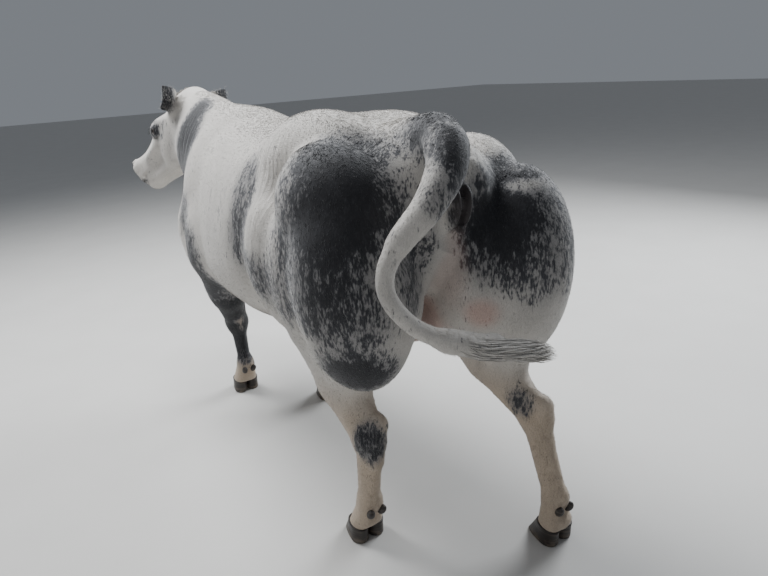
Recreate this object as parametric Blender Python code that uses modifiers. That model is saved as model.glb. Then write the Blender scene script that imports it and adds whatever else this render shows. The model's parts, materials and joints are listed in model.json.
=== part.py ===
"""A Belgian Blue cow standing at rest, life size, in metres, head towards -Y and +Z up.

The whole animal is one distance field of muscles. A voxel skin is drawn onto that field and thin cuts part
it into nodes, with claws, dewclaws and eyes set in afterwards.
"""

import math
import random

import bmesh
import bpy
import numpy as np
from mathutils import Euler, Matrix, Vector

# Driving sizes of the animal.
CHEST_BOTTOM = 0.545
BELLY_HALF_WIDTH = 0.350
PIN_BONE_Y = 0.760
KNEE_HEIGHT = 0.365
HOCK_HEIGHT = 0.395
FETLOCK_HEIGHT = 0.150
CORONET_HEIGHT = 0.066

# Where a hind foot stands when the leg is neither forward nor back.
HIND_STAND_Y = 0.680

# The middle of each foot, in a walking halt: left fore and left hind forward.
FEET = {
    "fore_left": (0.080, -0.685),
    "fore_right": (-0.190, -0.345),
    "hind_left": (0.205, 0.540),
    "hind_right": (-0.245, 0.930),
}

# Where the poll sits and how the face is held, in degrees.
POLL = (0.034, -1.045, 1.352)
HEAD_DOWN = 35.0
HEAD_LEFT = 17.0
HEAD_ROLL = -6.0
HEAD_SIZE = 1.03

GAP = 0.0003
FAR = 1.0
SMALL = 1e-9


def length_of(rows):
    return np.sqrt(np.einsum("ij,ij->i", rows, rows))


def smooth_union(first, second, blend):
    """The nearer of two distances, rounded where they are within blend of each other."""
    share = np.clip(0.5 + 0.5 * (second - first) / blend, 0.0, 1.0)
    return second + (first - second) * share - blend * share * (1.0 - share)


def unit_sphere(fineness):
    ball = bmesh.new()
    bmesh.ops.create_icosphere(ball, subdivisions=fineness, radius=1.0)
    points = np.array([vertex.co for vertex in ball.verts])
    faces = np.array([[vertex.index for vertex in face.verts] for face in ball.faces])
    ball.free()
    return points, faces


class Clay:
    """Rough closed lumps, gathered before one skin is grown over them."""

    def __init__(self):
        self.points = []
        self.faces = []
        self.count = 0
        self.ball = unit_sphere(2)

    def add(self, points, faces):
        self.points.append(points)
        self.faces.extend((faces + self.count).tolist())
        self.count += len(points)

    def add_ball(self, centre, axes):
        points, faces = self.ball
        self.add(points @ np.asarray(axes).T + np.asarray(centre), faces)

    def mesh(self, name):
        made = bpy.data.meshes.new(name)
        made.from_pydata(np.concatenate(self.points).tolist(), [], self.faces)
        return made


class Shape:
    """What every shape shares: a box outside which it has no effect."""

    def near(self, points):
        inside = points[:, 0] > self.low[0]
        for axis in range(3):
            inside &= (points[:, axis] > self.low[axis]) & (points[:, axis] < self.high[axis])
        return inside


class Ellipsoid(Shape):
    """A muscle belly or a bony knob, turned by Euler degrees about its centre."""

    def __init__(self, centre, radii, turn=(0, 0, 0), blend=0.03):
        self.centre = np.array(centre, float)
        self.radii = np.array(radii, float)
        self.axes = np.array(Euler([math.radians(a) for a in turn]).to_matrix())
        self.blend = blend
        reach = np.sqrt(((self.axes * self.radii) ** 2).sum(axis=1)) + 1.5 * blend + 0.01
        self.low = self.centre - reach
        self.high = self.centre + reach

    def distance(self, points):
        local = (points - self.centre) @ self.axes
        outer = length_of(local / self.radii)
        inner = length_of(local / self.radii**2)
        return outer * (outer - 1.0) / np.maximum(inner, SMALL)

    def lump(self, clay):
        clay.add_ball(self.centre, self.axes * self.radii)


class Limb(Shape):
    """A tapered round length between two joints; wide stretches its section along the axes."""

    def __init__(self, start, end, radius, end_radius, wide=(1, 1, 1), blend=0.03):
        self.start = np.array(start, float)
        self.run = np.array(end, float) - self.start
        self.radius = radius
        self.end_radius = end_radius
        self.wide = np.array(wide, float)
        self.blend = blend
        margin = max(radius, end_radius) * self.wide.max() + 1.5 * blend + 0.01
        ends = np.array([self.start, self.start + self.run])
        self.low = ends.min(axis=0) - margin
        self.high = ends.max(axis=0) + margin

    def distance(self, points):
        away = points - self.start
        along = np.clip(away @ self.run / (self.run @ self.run), 0.0, 1.0)
        offset = (away - along[:, None] * self.run) / self.wide
        return length_of(offset) - (self.radius + (self.end_radius - self.radius) * along)

    def lump(self, clay):
        step = 0.5 * min(self.radius, self.end_radius)
        count = max(2, math.ceil(np.linalg.norm(self.run) / step) + 1)
        for share in np.linspace(0.0, 1.0, count):
            radius = self.radius + (self.end_radius - self.radius) * share
            clay.add_ball(self.start + share * self.run, np.diag(radius * self.wide))


class Loft(Shape):
    """A body of changing section; each station is (y, top, bottom, half width, height of the widest point)."""

    SIDES = 28
    RINGS = 24

    def __init__(self, stations, square=2.2, blend=0.04):
        rows = np.array(stations, float)
        self.square = square
        self.blend = blend
        self.first, self.last = rows[0, 0], rows[-1, 0]
        self.dense = np.linspace(self.first, self.last, 121)
        self.curves = [smooth_curve(self.dense, rows[:, 0], rows[:, k]) for k in range(1, 5)]
        half = rows[:, 3].max() + 0.06
        self.low = np.array([-half, self.first - 0.06, rows[:, 2].min() - 0.06])
        self.high = np.array([half, self.last + 0.06, rows[:, 1].max() + 0.06])

    def section(self, along):
        return [np.interp(along, self.dense, curve) for curve in self.curves]

    def distance(self, points):
        along = np.clip(points[:, 1], self.first, self.last)
        top, bottom, half, widest = self.section(along)
        side = np.abs(points[:, 0])
        rise = points[:, 2] - widest
        depth = np.where(rise > 0, top - widest, widest - bottom)
        power = self.square
        level = ((side / half) ** power + (np.abs(rise) / depth) ** power) ** (1.0 / power)
        across = np.hypot(side, rise) * (1.0 - 1.0 / np.maximum(level, 1e-4))
        past = np.abs(points[:, 1] - along)
        return np.where(past > 0, np.hypot(np.maximum(across, 0.0), past), across)

    def lump(self, clay):
        angles = np.linspace(0.0, 2 * math.pi, self.SIDES, endpoint=False)
        rings = []
        for along in np.linspace(self.first, self.last, self.RINGS):
            top, bottom, half, widest = self.section(along)
            rise = np.sin(angles)
            depth = np.where(rise > 0, top - widest, widest - bottom)
            rings.append(np.column_stack((half * np.cos(angles), 0 * angles + along, widest + depth * rise)))
        centres = [rings[0].mean(axis=0), rings[-1].mean(axis=0)]
        faces = []
        for k in range(self.RINGS - 1):
            for side in range(self.SIDES):
                a = k * self.SIDES + side
                b = k * self.SIDES + (side + 1) % self.SIDES
                faces += [(a, b, b + self.SIDES), (a, b + self.SIDES, a + self.SIDES)]
        front, back = self.RINGS * self.SIDES, self.RINGS * self.SIDES + 1
        for side in range(self.SIDES):
            after = (side + 1) % self.SIDES
            faces.append((front, after, side))
            last = front - self.SIDES
            faces.append((back, last + side, last + after))
        clay.add(np.vstack(rings + [centres]), np.array(faces))


def smooth_curve(places, knots, values):
    """A cubic through the stations with the slopes of their neighbours."""
    slopes = np.gradient(values, knots)
    k = np.clip(np.searchsorted(knots, places) - 1, 0, len(knots) - 2)
    gap = knots[k + 1] - knots[k]
    t = (places - knots[k]) / gap
    return (
        values[k] * (1 + 2 * t) * (1 - t) ** 2
        + slopes[k] * gap * t * (1 - t) ** 2
        + values[k + 1] * t**2 * (3 - 2 * t)
        + slopes[k + 1] * gap * t**2 * (t - 1)
    )


class Group(Shape):
    """Shapes joined in order, each with its own blend, less the cuts; then joined on with the group's blend."""

    def __init__(self, shapes, blend=0.03, cuts=()):
        self.shapes = list(shapes)
        self.cuts = list(cuts)
        self.blend = blend
        self.low = np.min([shape.low for shape in self.shapes], axis=0) - blend
        self.high = np.max([shape.high for shape in self.shapes], axis=0) + blend

    def distance(self, points):
        depth = np.full(len(points), FAR)
        for shape in self.shapes:
            close = shape.near(points)
            if close.any():
                depth[close] = smooth_union(depth[close], shape.distance(points[close]), shape.blend)
        for shape in self.cuts:
            close = shape.near(points)
            if close.any():
                depth[close] = -smooth_union(-depth[close], shape.distance(points[close]), shape.blend)
        return depth

    def lump(self, clay):
        for shape in self.shapes:
            shape.lump(clay)


class Placed(Shape):
    """A group modelled in another frame, which may also enlarge it."""

    def __init__(self, frame, group, blend):
        self.origin = np.array(frame.translation)
        self.size = frame.to_scale()[0]
        self.axes = np.array(frame.to_3x3()) / self.size
        self.group = group
        self.blend = blend
        corners = np.array([[x, y, z] for x in (0, 1) for y in (0, 1) for z in (0, 1)])
        box = self.size * (group.low + corners * (group.high - group.low)) @ self.axes.T + self.origin
        self.low = box.min(axis=0) - blend
        self.high = box.max(axis=0) + blend

    def distance(self, points):
        return self.size * self.group.distance((points - self.origin) @ self.axes / self.size)

    def lump(self, clay):
        own = Clay()
        self.group.lump(own)
        clay.add(self.size * np.concatenate(own.points) @ self.axes.T + self.origin, np.array(own.faces))


class Mirrored(Shape):
    """A shape on the left of its own frame, and its mirror image on the right."""

    def __init__(self, shape):
        self.shape = shape
        self.blend = shape.blend
        self.low = shape.low.copy()
        self.high = shape.high.copy()
        self.low[0] = -self.high[0]

    def distance(self, points):
        folded = points.copy()
        folded[:, 0] = np.abs(folded[:, 0])
        return self.shape.distance(folded)

    def lump(self, clay):
        self.shape.lump(clay)
        own = Clay()
        self.shape.lump(own)
        flipped = np.concatenate(own.points) * (-1, 1, 1)
        clay.add(flipped, np.array(own.faces)[:, ::-1])


def fetlock_of(name):
    """The fetlock joint; a hind foot set far back has it over the toes."""
    x, y = FEET[name]
    if name.startswith("fore"):
        return (x, y + 0.022, FETLOCK_HEIGHT)
    return (x, y + 0.024 - 0.13 * max(y - HIND_STAND_Y, 0.0), FETLOCK_HEIGHT)


def mix(a, b, share, shift=(0, 0, 0)):
    return tuple(p + (q - p) * share + d for p, q, d in zip(a, b, shift))


def shifted(a, shift):
    return tuple(p + d for p, d in zip(a, shift))


def trunk():
    """Rib cage, belly, loin and pelvis as one barrel, from the chest to the tail head."""
    wide = BELLY_HALF_WIDTH
    stations = (
        (-0.85, 1.130, 0.700, 0.130, 0.88),
        (-0.78, 1.210, 0.610, 0.195, 0.84),
        (-0.65, 1.270, 0.565, 0.240, 0.81),
        (-0.45, 1.292, CHEST_BOTTOM, 0.282, 0.80),
        (-0.20, 1.280, CHEST_BOTTOM, wide - 0.022, 0.83),
        (0.05, 1.290, 0.562, wide - 0.005, 0.87),
        (0.28, 1.305, 0.625, 0.290, 0.96),
        (0.50, 1.290, 0.735, 0.220, 1.05),
        (0.68, 1.262, 0.850, 0.150, 1.08),
        (0.76, 1.215, 0.950, 0.085, 1.09),
    )
    shapes = [
        Loft(stations, square=2.12),
        Ellipsoid((0, -0.500, 1.230), (0.110, 0.240, 0.080), blend=0.07),
        Ellipsoid((0, -0.770, 0.670), (0.155, 0.175, 0.125), (24, 0, 0), 0.08),
        Ellipsoid((0, -0.540, 0.600), (0.125, 0.270, 0.065), blend=0.06),
        Ellipsoid((0, -0.770, 0.860), (0.165, 0.160, 0.230), blend=0.07),
        Ellipsoid((0, 0.500, 0.705), (0.080, 0.130, 0.075), (-12, 0, 0), 0.04),
        Ellipsoid((0, 0.270, 0.670), (0.200, 0.160, 0.075), (-16, 0, 0), 0.07),
    ]
    return Group(shapes, blend=0.03)


def shoulder(side):
    """Shoulder blade, upper arm and the bulging muscles over them."""
    s = side
    shapes = [
        Ellipsoid((s * 0.150, -0.560, 1.020), (0.100, 0.185, 0.225), (-14, s * -14, 0), 0.08),
        Ellipsoid((s * 0.180, -0.680, 0.865), (0.088, 0.130, 0.165), (-24, s * -16, 0), 0.035),
        Ellipsoid((s * 0.212, -0.480, 0.842), (0.098, 0.155, 0.165), (28, s * -16, 0), 0.030),
        Ellipsoid((s * 0.150, -0.790, 0.830), (0.088, 0.085, 0.105), blend=0.04),
        Ellipsoid((s * 0.115, -0.800, 0.735), (0.110, 0.110, 0.130), blend=0.04),
        Ellipsoid((s * 0.185, -0.590, 0.735), (0.098, 0.170, 0.110), (12, 0, 0), 0.04),
    ]
    return Group(shapes, blend=0.045)


def foreleg(side, name):
    """Forearm, knee, cannon and fetlock, down to the two toes."""
    s = side
    x, y = FEET[name]
    elbow = (s * 0.205, -0.500, 0.725)
    knee = (x + s * 0.012, y * 0.86 + elbow[1] * 0.14, KNEE_HEIGHT)
    fetlock = fetlock_of(name)
    middle = mix(elbow, knee, 0.55)
    shapes = [
        Limb(elbow, middle, 0.104, 0.070, (0.92, 1.1, 1), 0.03),
        Limb(middle, knee, 0.070, 0.048, (1, 1.05, 1), 0.03),
        Ellipsoid(mix(elbow, knee, 0.30, (0, -0.030, 0)), (0.072, 0.072, 0.130), blend=0.03),
        Ellipsoid(mix(elbow, knee, 0.06, (0, 0.070, 0.015)), (0.045, 0.055, 0.070), blend=0.03),
        Ellipsoid(shifted(knee, (0, -0.006, 0)), (0.051, 0.049, 0.060), blend=0.02),
        Ellipsoid(shifted(knee, (0, 0.034, 0)), (0.030, 0.024, 0.040), blend=0.015),
        Limb(knee, fetlock, 0.039, 0.031, (0.95, 0.95, 1), 0.03),
        Limb(shifted(knee, (0, 0.028, -0.03)), shifted(fetlock, (0, 0.022, 0.03)), 0.016, 0.018, blend=0.016),
        Ellipsoid(shifted(fetlock, (0, 0.006, 0.002)), (0.042, 0.040, 0.044), blend=0.02),
    ]
    return Group(shapes + toes((x, y), fetlock), blend=0.04)


TOE_SPREAD = 0.029


def toes(foot, fetlock):
    """The pastern parts into two toes that end at the coronet."""
    x, y = foot
    found = [Ellipsoid((x, y + 0.022, 0.078), (0.042, 0.026, 0.030), blend=0.02)]
    for side in (-1, 1):
        top = shifted(fetlock, (side * 0.016, 0.002, -0.015))
        low = (x + side * TOE_SPREAD, y - 0.006, CORONET_HEIGHT - 0.012)
        found.append(Limb(top, low, 0.031, 0.033, (0.84, 1.15, 1), 0.012))
    return found


def hindquarter(side, name):
    """Rump, thigh, gaskin and cannon of one side, with the deep muscle bellies of a double-muscled cow."""
    s = side
    x, y = FEET[name]
    swing = y - HIND_STAND_Y
    pull = 0.45 * swing
    stifle = (s * 0.212, 0.275 + 0.28 * swing, 0.725)
    hock = (x + s * 0.004, y + 0.000 - 0.38 * swing, HOCK_HEIGHT)
    heel = shifted(hock, (s * -0.012, 0.046, 0.058))
    fetlock = fetlock_of(name)
    drop = 0.1 * max(swing, 0.0)
    rump = [
        Ellipsoid((s * 0.130, 0.330, 1.200 - drop), (0.130, 0.260, 0.128), (3, s * -6, 0), 0.05),
        Ellipsoid((s * 0.190, 0.240, 1.150), (0.080, 0.100, 0.085), blend=0.06),
        Ellipsoid((s * 0.205, 0.545 + 0.2 * pull, 1.045 - drop), (0.162, 0.218, 0.220), (4, s * 17, 0), 0.035),
        Ellipsoid((s * 0.085, 0.640 + 0.2 * pull, 1.110), (0.085, 0.130, 0.130), blend=0.06),
    ]
    thigh = [
        Limb((s * 0.225, 0.245, 1.100), shifted(stifle, (0, 0.030, 0.100)), 0.070, 0.085, blend=0.05),
        Ellipsoid((s * 0.255, 0.300 + 0.4 * pull, 0.880), (0.120, 0.160, 0.220), (0, s * 6, 0), 0.04),
        Ellipsoid((s * 0.248, 0.470 + 0.6 * pull, 0.850), (0.124, 0.185, 0.250), (-6, s * 8, 0), 0.025),
        Ellipsoid((s * 0.232, 0.662 + 0.8 * pull, 0.862), (0.168, 0.180, 0.298), (0, s * 6, 0), 0.025),
        Ellipsoid((s * 0.110, 0.620 + 0.7 * pull, 0.860), (0.105, 0.145, 0.240), blend=0.035),
        Ellipsoid((s * 0.150, 0.440 + 0.6 * pull, 0.760), (0.120, 0.200, 0.185), blend=0.035),
        Ellipsoid(shifted(stifle, (0, 0.03, 0.02)), (0.085, 0.095, 0.110), blend=0.04),
    ]
    calf = mix(stifle, hock, 0.58, (0, 0.020, 0))
    gaskin = [
        Limb(mix(stifle, hock, 0.12, (0, 0.110, 0)), calf, 0.118, 0.080, (0.85, 1, 1), 0.04),
        Limb(calf, hock, 0.078, 0.046, (0.9, 1, 1), 0.03),
        Limb(mix(stifle, hock, 0.05, (0, 0.02, 0)), hock, 0.072, 0.044, (0.95, 1, 1), 0.03),
        Limb((s * 0.110 + 0.5 * x, 0.60 + 1.1 * pull, 0.660), mix(calf, heel, 0.45), 0.110, 0.042, blend=0.04),
        Limb(mix(calf, heel, 0.30), heel, 0.032, 0.023, blend=0.025),
    ]
    lower = [
        Ellipsoid(heel, (0.024, 0.028, 0.030), blend=0.018),
        Ellipsoid(shifted(hock, (0, 0.006, 0.010)), (0.044, 0.060, 0.058), blend=0.022),
        Limb(shifted(heel, (0, -0.004, -0.01)), shifted(hock, (0, 0.036, -0.070)), 0.023, 0.022, blend=0.02),
        Limb(shifted(hock, (0, 0.004, -0.02)), fetlock, 0.043, 0.036, (0.95, 1.02, 1), 0.03),
        Limb(shifted(hock, (0, 0.040, -0.05)), shifted(fetlock, (0, 0.024, 0.03)), 0.018, 0.018, blend=0.018),
        Ellipsoid(shifted(fetlock, (0, 0.006, 0.002)), (0.043, 0.042, 0.045), blend=0.02),
    ]
    leg = Group(thigh + gaskin + lower + toes((x, y), fetlock), blend=0.020)
    return Group(rump + [leg], blend=0.04)


def head_frame():
    """Head coordinates: x left, y back along the face from muzzle to poll, z out of the forehead."""
    turn = Euler([math.radians(a) for a in (HEAD_DOWN, HEAD_ROLL, HEAD_LEFT)])
    return Matrix.Translation(Vector(POLL)) @ turn.to_matrix().to_4x4() @ Matrix.Scale(HEAD_SIZE, 4)


def neck(frame):
    """Neck from the shoulders to the back of the skull, with its crest, throat and dewlap."""
    root = (0, -0.600, 0.990)
    nape = tuple(frame @ Vector((0, -0.030, -0.125)))
    throat = tuple(frame @ Vector((0, -0.120, -0.235)))
    crest = tuple(frame @ Vector((0, 0.045, -0.050)))
    shapes = [
        Limb(root, mix(root, nape, 0.55), 0.265, 0.205, (0.80, 1, 1), 0.05),
        Limb(mix(root, nape, 0.5), nape, 0.208, 0.135, (0.78, 1, 1), 0.05),
        Limb((0, -0.520, 1.215), crest, 0.080, 0.062, (1.1, 1, 1), 0.06),
        Limb((0, -0.800, 0.820), throat, 0.130, 0.075, (0.72, 1, 1), 0.06),
        Limb((0, -0.830, 0.760), mix((0, -0.800, 0.800), throat, 0.62), 0.080, 0.060, (0.75, 1, 1), 0.08),
        Ellipsoid(tuple(frame @ Vector((0, -0.070, -0.228))), (0.080, 0.130, 0.062), (HEAD_DOWN, 0, HEAD_LEFT), 0.05),
    ]
    return Group(shapes, blend=0.05)


# The eye in head coordinates, the thickness of its lids, and the brow's radii along it.
EYE_PLACE = (0.098, -0.176, -0.058)
EYE_RADIUS = 0.0200
LID = 0.0050
BROW = (0.013, 0.010)


def skull():
    """The head in its own frame, from the muzzle at y = -0.49 to the poll at 0."""
    stations = (
        (-0.500, -0.052, -0.142, 0.048, -0.098),
        (-0.480, -0.034, -0.166, 0.070, -0.100),
        (-0.440, -0.022, -0.178, 0.076, -0.100),
        (-0.380, -0.022, -0.176, 0.068, -0.096),
        (-0.300, -0.014, -0.192, 0.072, -0.090),
        (-0.220, -0.004, -0.226, 0.090, -0.084),
        (-0.150, 0.000, -0.242, 0.106, -0.086),
        (-0.070, -0.004, -0.230, 0.106, -0.088),
        (-0.010, -0.012, -0.185, 0.084, -0.080),
        (0.040, -0.045, -0.125, 0.050, -0.080),
    )
    shapes = [
        Loft(stations, square=2.5, blend=0.02),
        Ellipsoid((0, -0.015, -0.030), (0.075, 0.055, 0.045), blend=0.03),
        Mirrored(Ellipsoid((0.086, -0.172, -0.046), (0.036, 0.056, 0.038), (0, 20, 8), 0.025)),
        Mirrored(Ellipsoid((0.072, -0.125, -0.165), (0.042, 0.105, 0.090), (18, 0, 0), 0.03)),
        Mirrored(Limb((0.060, -0.090, -0.228), (0.032, -0.400, -0.172), 0.034, 0.024, blend=0.03)),
        Mirrored(Limb((0.082, -0.215, -0.100), (0.056, -0.350, -0.088), 0.026, 0.022, blend=0.03)),
        Mirrored(Ellipsoid((0.044, -0.462, -0.068), (0.036, 0.044, 0.040), blend=0.02)),
        Ellipsoid((0, -0.476, -0.090), (0.060, 0.034, 0.048), blend=0.02),
        Ellipsoid((0, -0.436, -0.166), (0.052, 0.052, 0.030), (12, 0, 0), 0.020),
        Mirrored(Limb((0.034, -0.492, -0.036), (0.058, -0.462, -0.034), 0.013, 0.011, blend=0.012)),
        Mirrored(ear_root()),
        Mirrored(Ellipsoid(EYE_PLACE, (EYE_RADIUS + LID,) * 3, blend=0.010)),
        Mirrored(Limb(shifted(EYE_PLACE, (0.008, -0.030, 0.022)), shifted(EYE_PLACE, (0.004, 0.030, 0.020)), *BROW)),
    ]
    cuts = [
        Mirrored(Ellipsoid((0.050, -0.504, -0.061), (0.013, 0.016, 0.017), (0, -25, -30), 0.012)),
        Mirrored(Ellipsoid(shifted(EYE_PLACE, (0.030, -0.001, -0.001)), (0.015, 0.022, 0.0125), (12, 0, 0), 0.005)),
        Mirrored(Limb((0.046, -0.504, -0.141), (0.081, -0.385, -0.132), 0.0070, 0.0050, blend=0.008)),
        Limb((-0.046, -0.508, -0.143), (0.046, -0.508, -0.143), 0.0070, 0.0070, blend=0.008),
    ]
    return Group(shapes, cuts=cuts)


# The tail swings out to the left, and its switch flicks back to the right.
TAIL_PATH = (
    (0.000, 0.600, 1.235),
    (0.005, 0.680, 1.255),
    (0.025, 0.745, 1.258),
    (0.058, 0.808, 1.238),
    (0.103, 0.852, 1.188),
    (0.173, 0.868, 1.118),
    (0.245, 0.850, 1.045),
    (0.285, 0.845, 0.980),
    (0.285, 0.855, 0.915),
    (0.240, 0.885, 0.845),
    (0.170, 0.925, 0.800),
    (0.095, 0.955, 0.768),
)
TAIL_RADII = (0.062, 0.060, 0.057, 0.054, 0.046, 0.036, 0.029, 0.025, 0.024, 0.024, 0.026, 0.026)
TAIL_CUTS = {"root": 4, "upper": 6, "middle": 9}
SWITCH_TIP = (-0.150, 0.985, 0.695)
SWITCH_RADIUS = 0.036


def tail_lengths(first, last, blend):
    lengths = []
    for k in range(first, last):
        lengths.append(Limb(TAIL_PATH[k], TAIL_PATH[k + 1], TAIL_RADII[k], TAIL_RADII[k + 1], blend=0.015))
    return Group(lengths, blend=blend)


def switch():
    """The core of the brush at the end of the tail, which its locks grow from."""
    start = TAIL_PATH[-2]
    belly = mix(start, SWITCH_TIP, 0.40)
    end = mix(start, SWITCH_TIP, 0.62)
    return [
        Limb(start, belly, 0.026, 0.75 * SWITCH_RADIUS, (1, 0.75, 1), 0.03),
        Limb(belly, end, 0.75 * SWITCH_RADIUS, 0.012, (1, 0.75, 1), 0.03),
    ]


def vulva():
    shapes = [
        Ellipsoid((0, PIN_BONE_Y - 0.020, 1.170), (0.045, 0.040, 0.050), blend=0.02),
        Ellipsoid((0, PIN_BONE_Y + 0.005, 1.080), (0.036, 0.038, 0.062), (-14, 0, 0), 0.02),
    ]
    return Group(shapes, blend=0.03)


def whole_animal(frame):
    left = hindquarter(1, "hind_left")
    right = hindquarter(-1, "hind_right")
    right.blend = 0.020
    return Group(
        [
            trunk(),
            shoulder(1),
            shoulder(-1),
            Group([left, right], blend=0.05),
            neck(frame),
            Placed(frame, skull(), 0.035),
            foreleg(1, "fore_left"),
            foreleg(-1, "fore_right"),
            vulva(),
            tail_lengths(0, 6, 0.05),
        ]
    )


def slope(shape, points, depth, step=0.0008):
    """The field's gradient by small steps along each axis."""
    found = np.empty_like(points)
    for axis in range(3):
        moved = points.copy()
        moved[:, axis] += step
        found[:, axis] = (shape.distance(moved) - depth) / step
    return found


def draw_onto(shape, points, rounds=3, most=0.03):
    """Moves points along the gradient onto the surface where the field is zero."""
    for _ in range(rounds):
        depth = shape.distance(points)
        steep = slope(shape, points, depth)
        strength = np.maximum(np.einsum("ij,ij->i", steep, steep), 0.25)
        points = points - (np.clip(depth, -most, most) / strength)[:, None] * steep
    return points


def clear_scene():
    for obj in list(bpy.data.objects):
        bpy.data.objects.remove(obj)


def apply_modifiers(obj):
    """Replaces the object's mesh by its evaluated one."""
    graph = bpy.context.evaluated_depsgraph_get()
    made = bpy.data.meshes.new_from_object(obj.evaluated_get(graph))
    obj.modifiers.clear()
    old = obj.data
    obj.data = made
    bpy.data.meshes.remove(old)


def positions(mesh):
    found = np.empty(len(mesh.vertices) * 3)
    mesh.vertices.foreach_get("co", found)
    return found.reshape(-1, 3)


def new_object(name, mesh):
    obj = bpy.data.objects.new(name, mesh)
    bpy.context.scene.collection.objects.link(obj)
    return obj


def relaxed(mesh, points):
    """Each point moved half way to the middle of its neighbours, which keeps a drawn skin from folding."""
    ends = np.empty(2 * len(mesh.edges), np.int64)
    mesh.edges.foreach_get("vertices", ends)
    first, second = ends.reshape(-1, 2).T
    total = np.zeros_like(points)
    for axis in range(3):
        total[:, axis] = np.bincount(first, points[second, axis], len(points))
        total[:, axis] += np.bincount(second, points[first, axis], len(points))
    count = np.bincount(first, minlength=len(points)) + np.bincount(second, minlength=len(points))
    return 0.5 * points + 0.5 * total / np.maximum(count, 1)[:, None]


def grow_hide(shape, voxel, rounds=0):
    """A closed skin over all the lumps, remeshed in voxels and drawn onto the blended field.

    Rounds of short steps with the skin relaxed between them carry it into narrow openings without a fold.
    """
    clay = Clay()
    shape.lump(clay)
    obj = new_object("hide", clay.mesh("hide"))
    remesh = obj.modifiers.new("skin", "REMESH")
    remesh.mode = "VOXEL"
    remesh.voxel_size = voxel
    apply_modifiers(obj)
    points = positions(obj.data)
    for _ in range(rounds):
        points = relaxed(obj.data, draw_onto(shape, points, 1, RELAX_STEP))
    points = draw_onto(shape, points, 1, RELAX_STEP) if rounds else draw_onto(shape, points)
    obj.data.vertices.foreach_set("co", points.ravel())
    obj.data.update()
    return obj


class Slab:
    """A cut one gap thick: a rectangle of two half sizes, turned about its centre."""

    def __init__(self, centre, half_x, half_y, turn):
        self.place = Matrix.Translation(Vector(centre)) @ turn.to_matrix().to_4x4()
        self.size = Matrix.Diagonal([2 * half_x, 2 * half_y, GAP, 1.0])


def degrees(*angles):
    return Euler([math.radians(a) for a in angles])


def body_cuts():
    """Across the neck, down each leg off the trunk, at the knee or hock, and at the coronet."""
    cuts = [Slab((0, -0.745, 1.000), 0.32, 0.42, degrees(62, 0, 0))]
    for name, (x, y) in FEET.items():
        s = 1 if name.endswith("left") else -1
        if name.startswith("fore"):
            elbow_y = (y - 0.50) / 2
            cuts.append(Slab((s * 0.215, elbow_y, 0.590), 0.200, 0.190, degrees(0, s * -22, 0)))
            cuts.append(Slab((x + s * 0.01, y * 0.9 - 0.04, KNEE_HEIGHT - 0.055), 0.09, 0.11, degrees(0, 0, 0)))
        else:
            swing = y - HIND_STAND_Y
            cuts.append(Slab((s * 0.225, 0.50 + 0.4 * swing, 0.80), 0.34, 0.62, degrees(22, s * -52, 0)))
            cuts.append(Slab((s * 0.235, y - 0.10 - 0.35 * swing, 0.520), 0.16, 0.24, degrees(20, 0, 0)))
            cuts.append(Slab((x, y + 0.01 - 0.2 * swing, HOCK_HEIGHT - 0.085), 0.09, 0.10, degrees(0, 0, 0)))
        cuts.append(coronet_cut(x, y))
    return cuts


def coronet_cut(x, y):
    return Slab((x, y, CORONET_HEIGHT - 0.004), 0.10, 0.10, degrees(CORONET_TILT, 0, 0))


CORONET_TILT = -14


def head_cut(frame):
    """Behind the jaw and the poll."""
    return Slab(frame @ Vector((0, 0.050, -0.160)), 0.24, 0.36, degrees(HEAD_DOWN + 27, HEAD_ROLL, HEAD_LEFT))


def tail_cut(name):
    """Across the tail, square to it."""
    k = TAIL_CUTS[name]
    here = Vector(mix(TAIL_PATH[k], TAIL_PATH[k + 1], 0.5))
    run = Vector(TAIL_PATH[k + 1]) - Vector(TAIL_PATH[k])
    return Slab(here, 0.075, 0.075, run.to_track_quat("Z", "Y"))


# Ear in head coordinates: where it grows, where its tip lies, and which way its cup opens.
EAR_ROOT = (0.082, -0.022, -0.066)
EAR_TIP = (0.168, 0.060, 0.010)
EAR_OPENS = (0.05, -0.78, 0.60)
EAR_WIDTH = 0.114
EAR_WALL = 0.0040
EAR_START = 0.030
EAR_CUT = 0.066
EAR_BACK = 0.020


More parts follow.
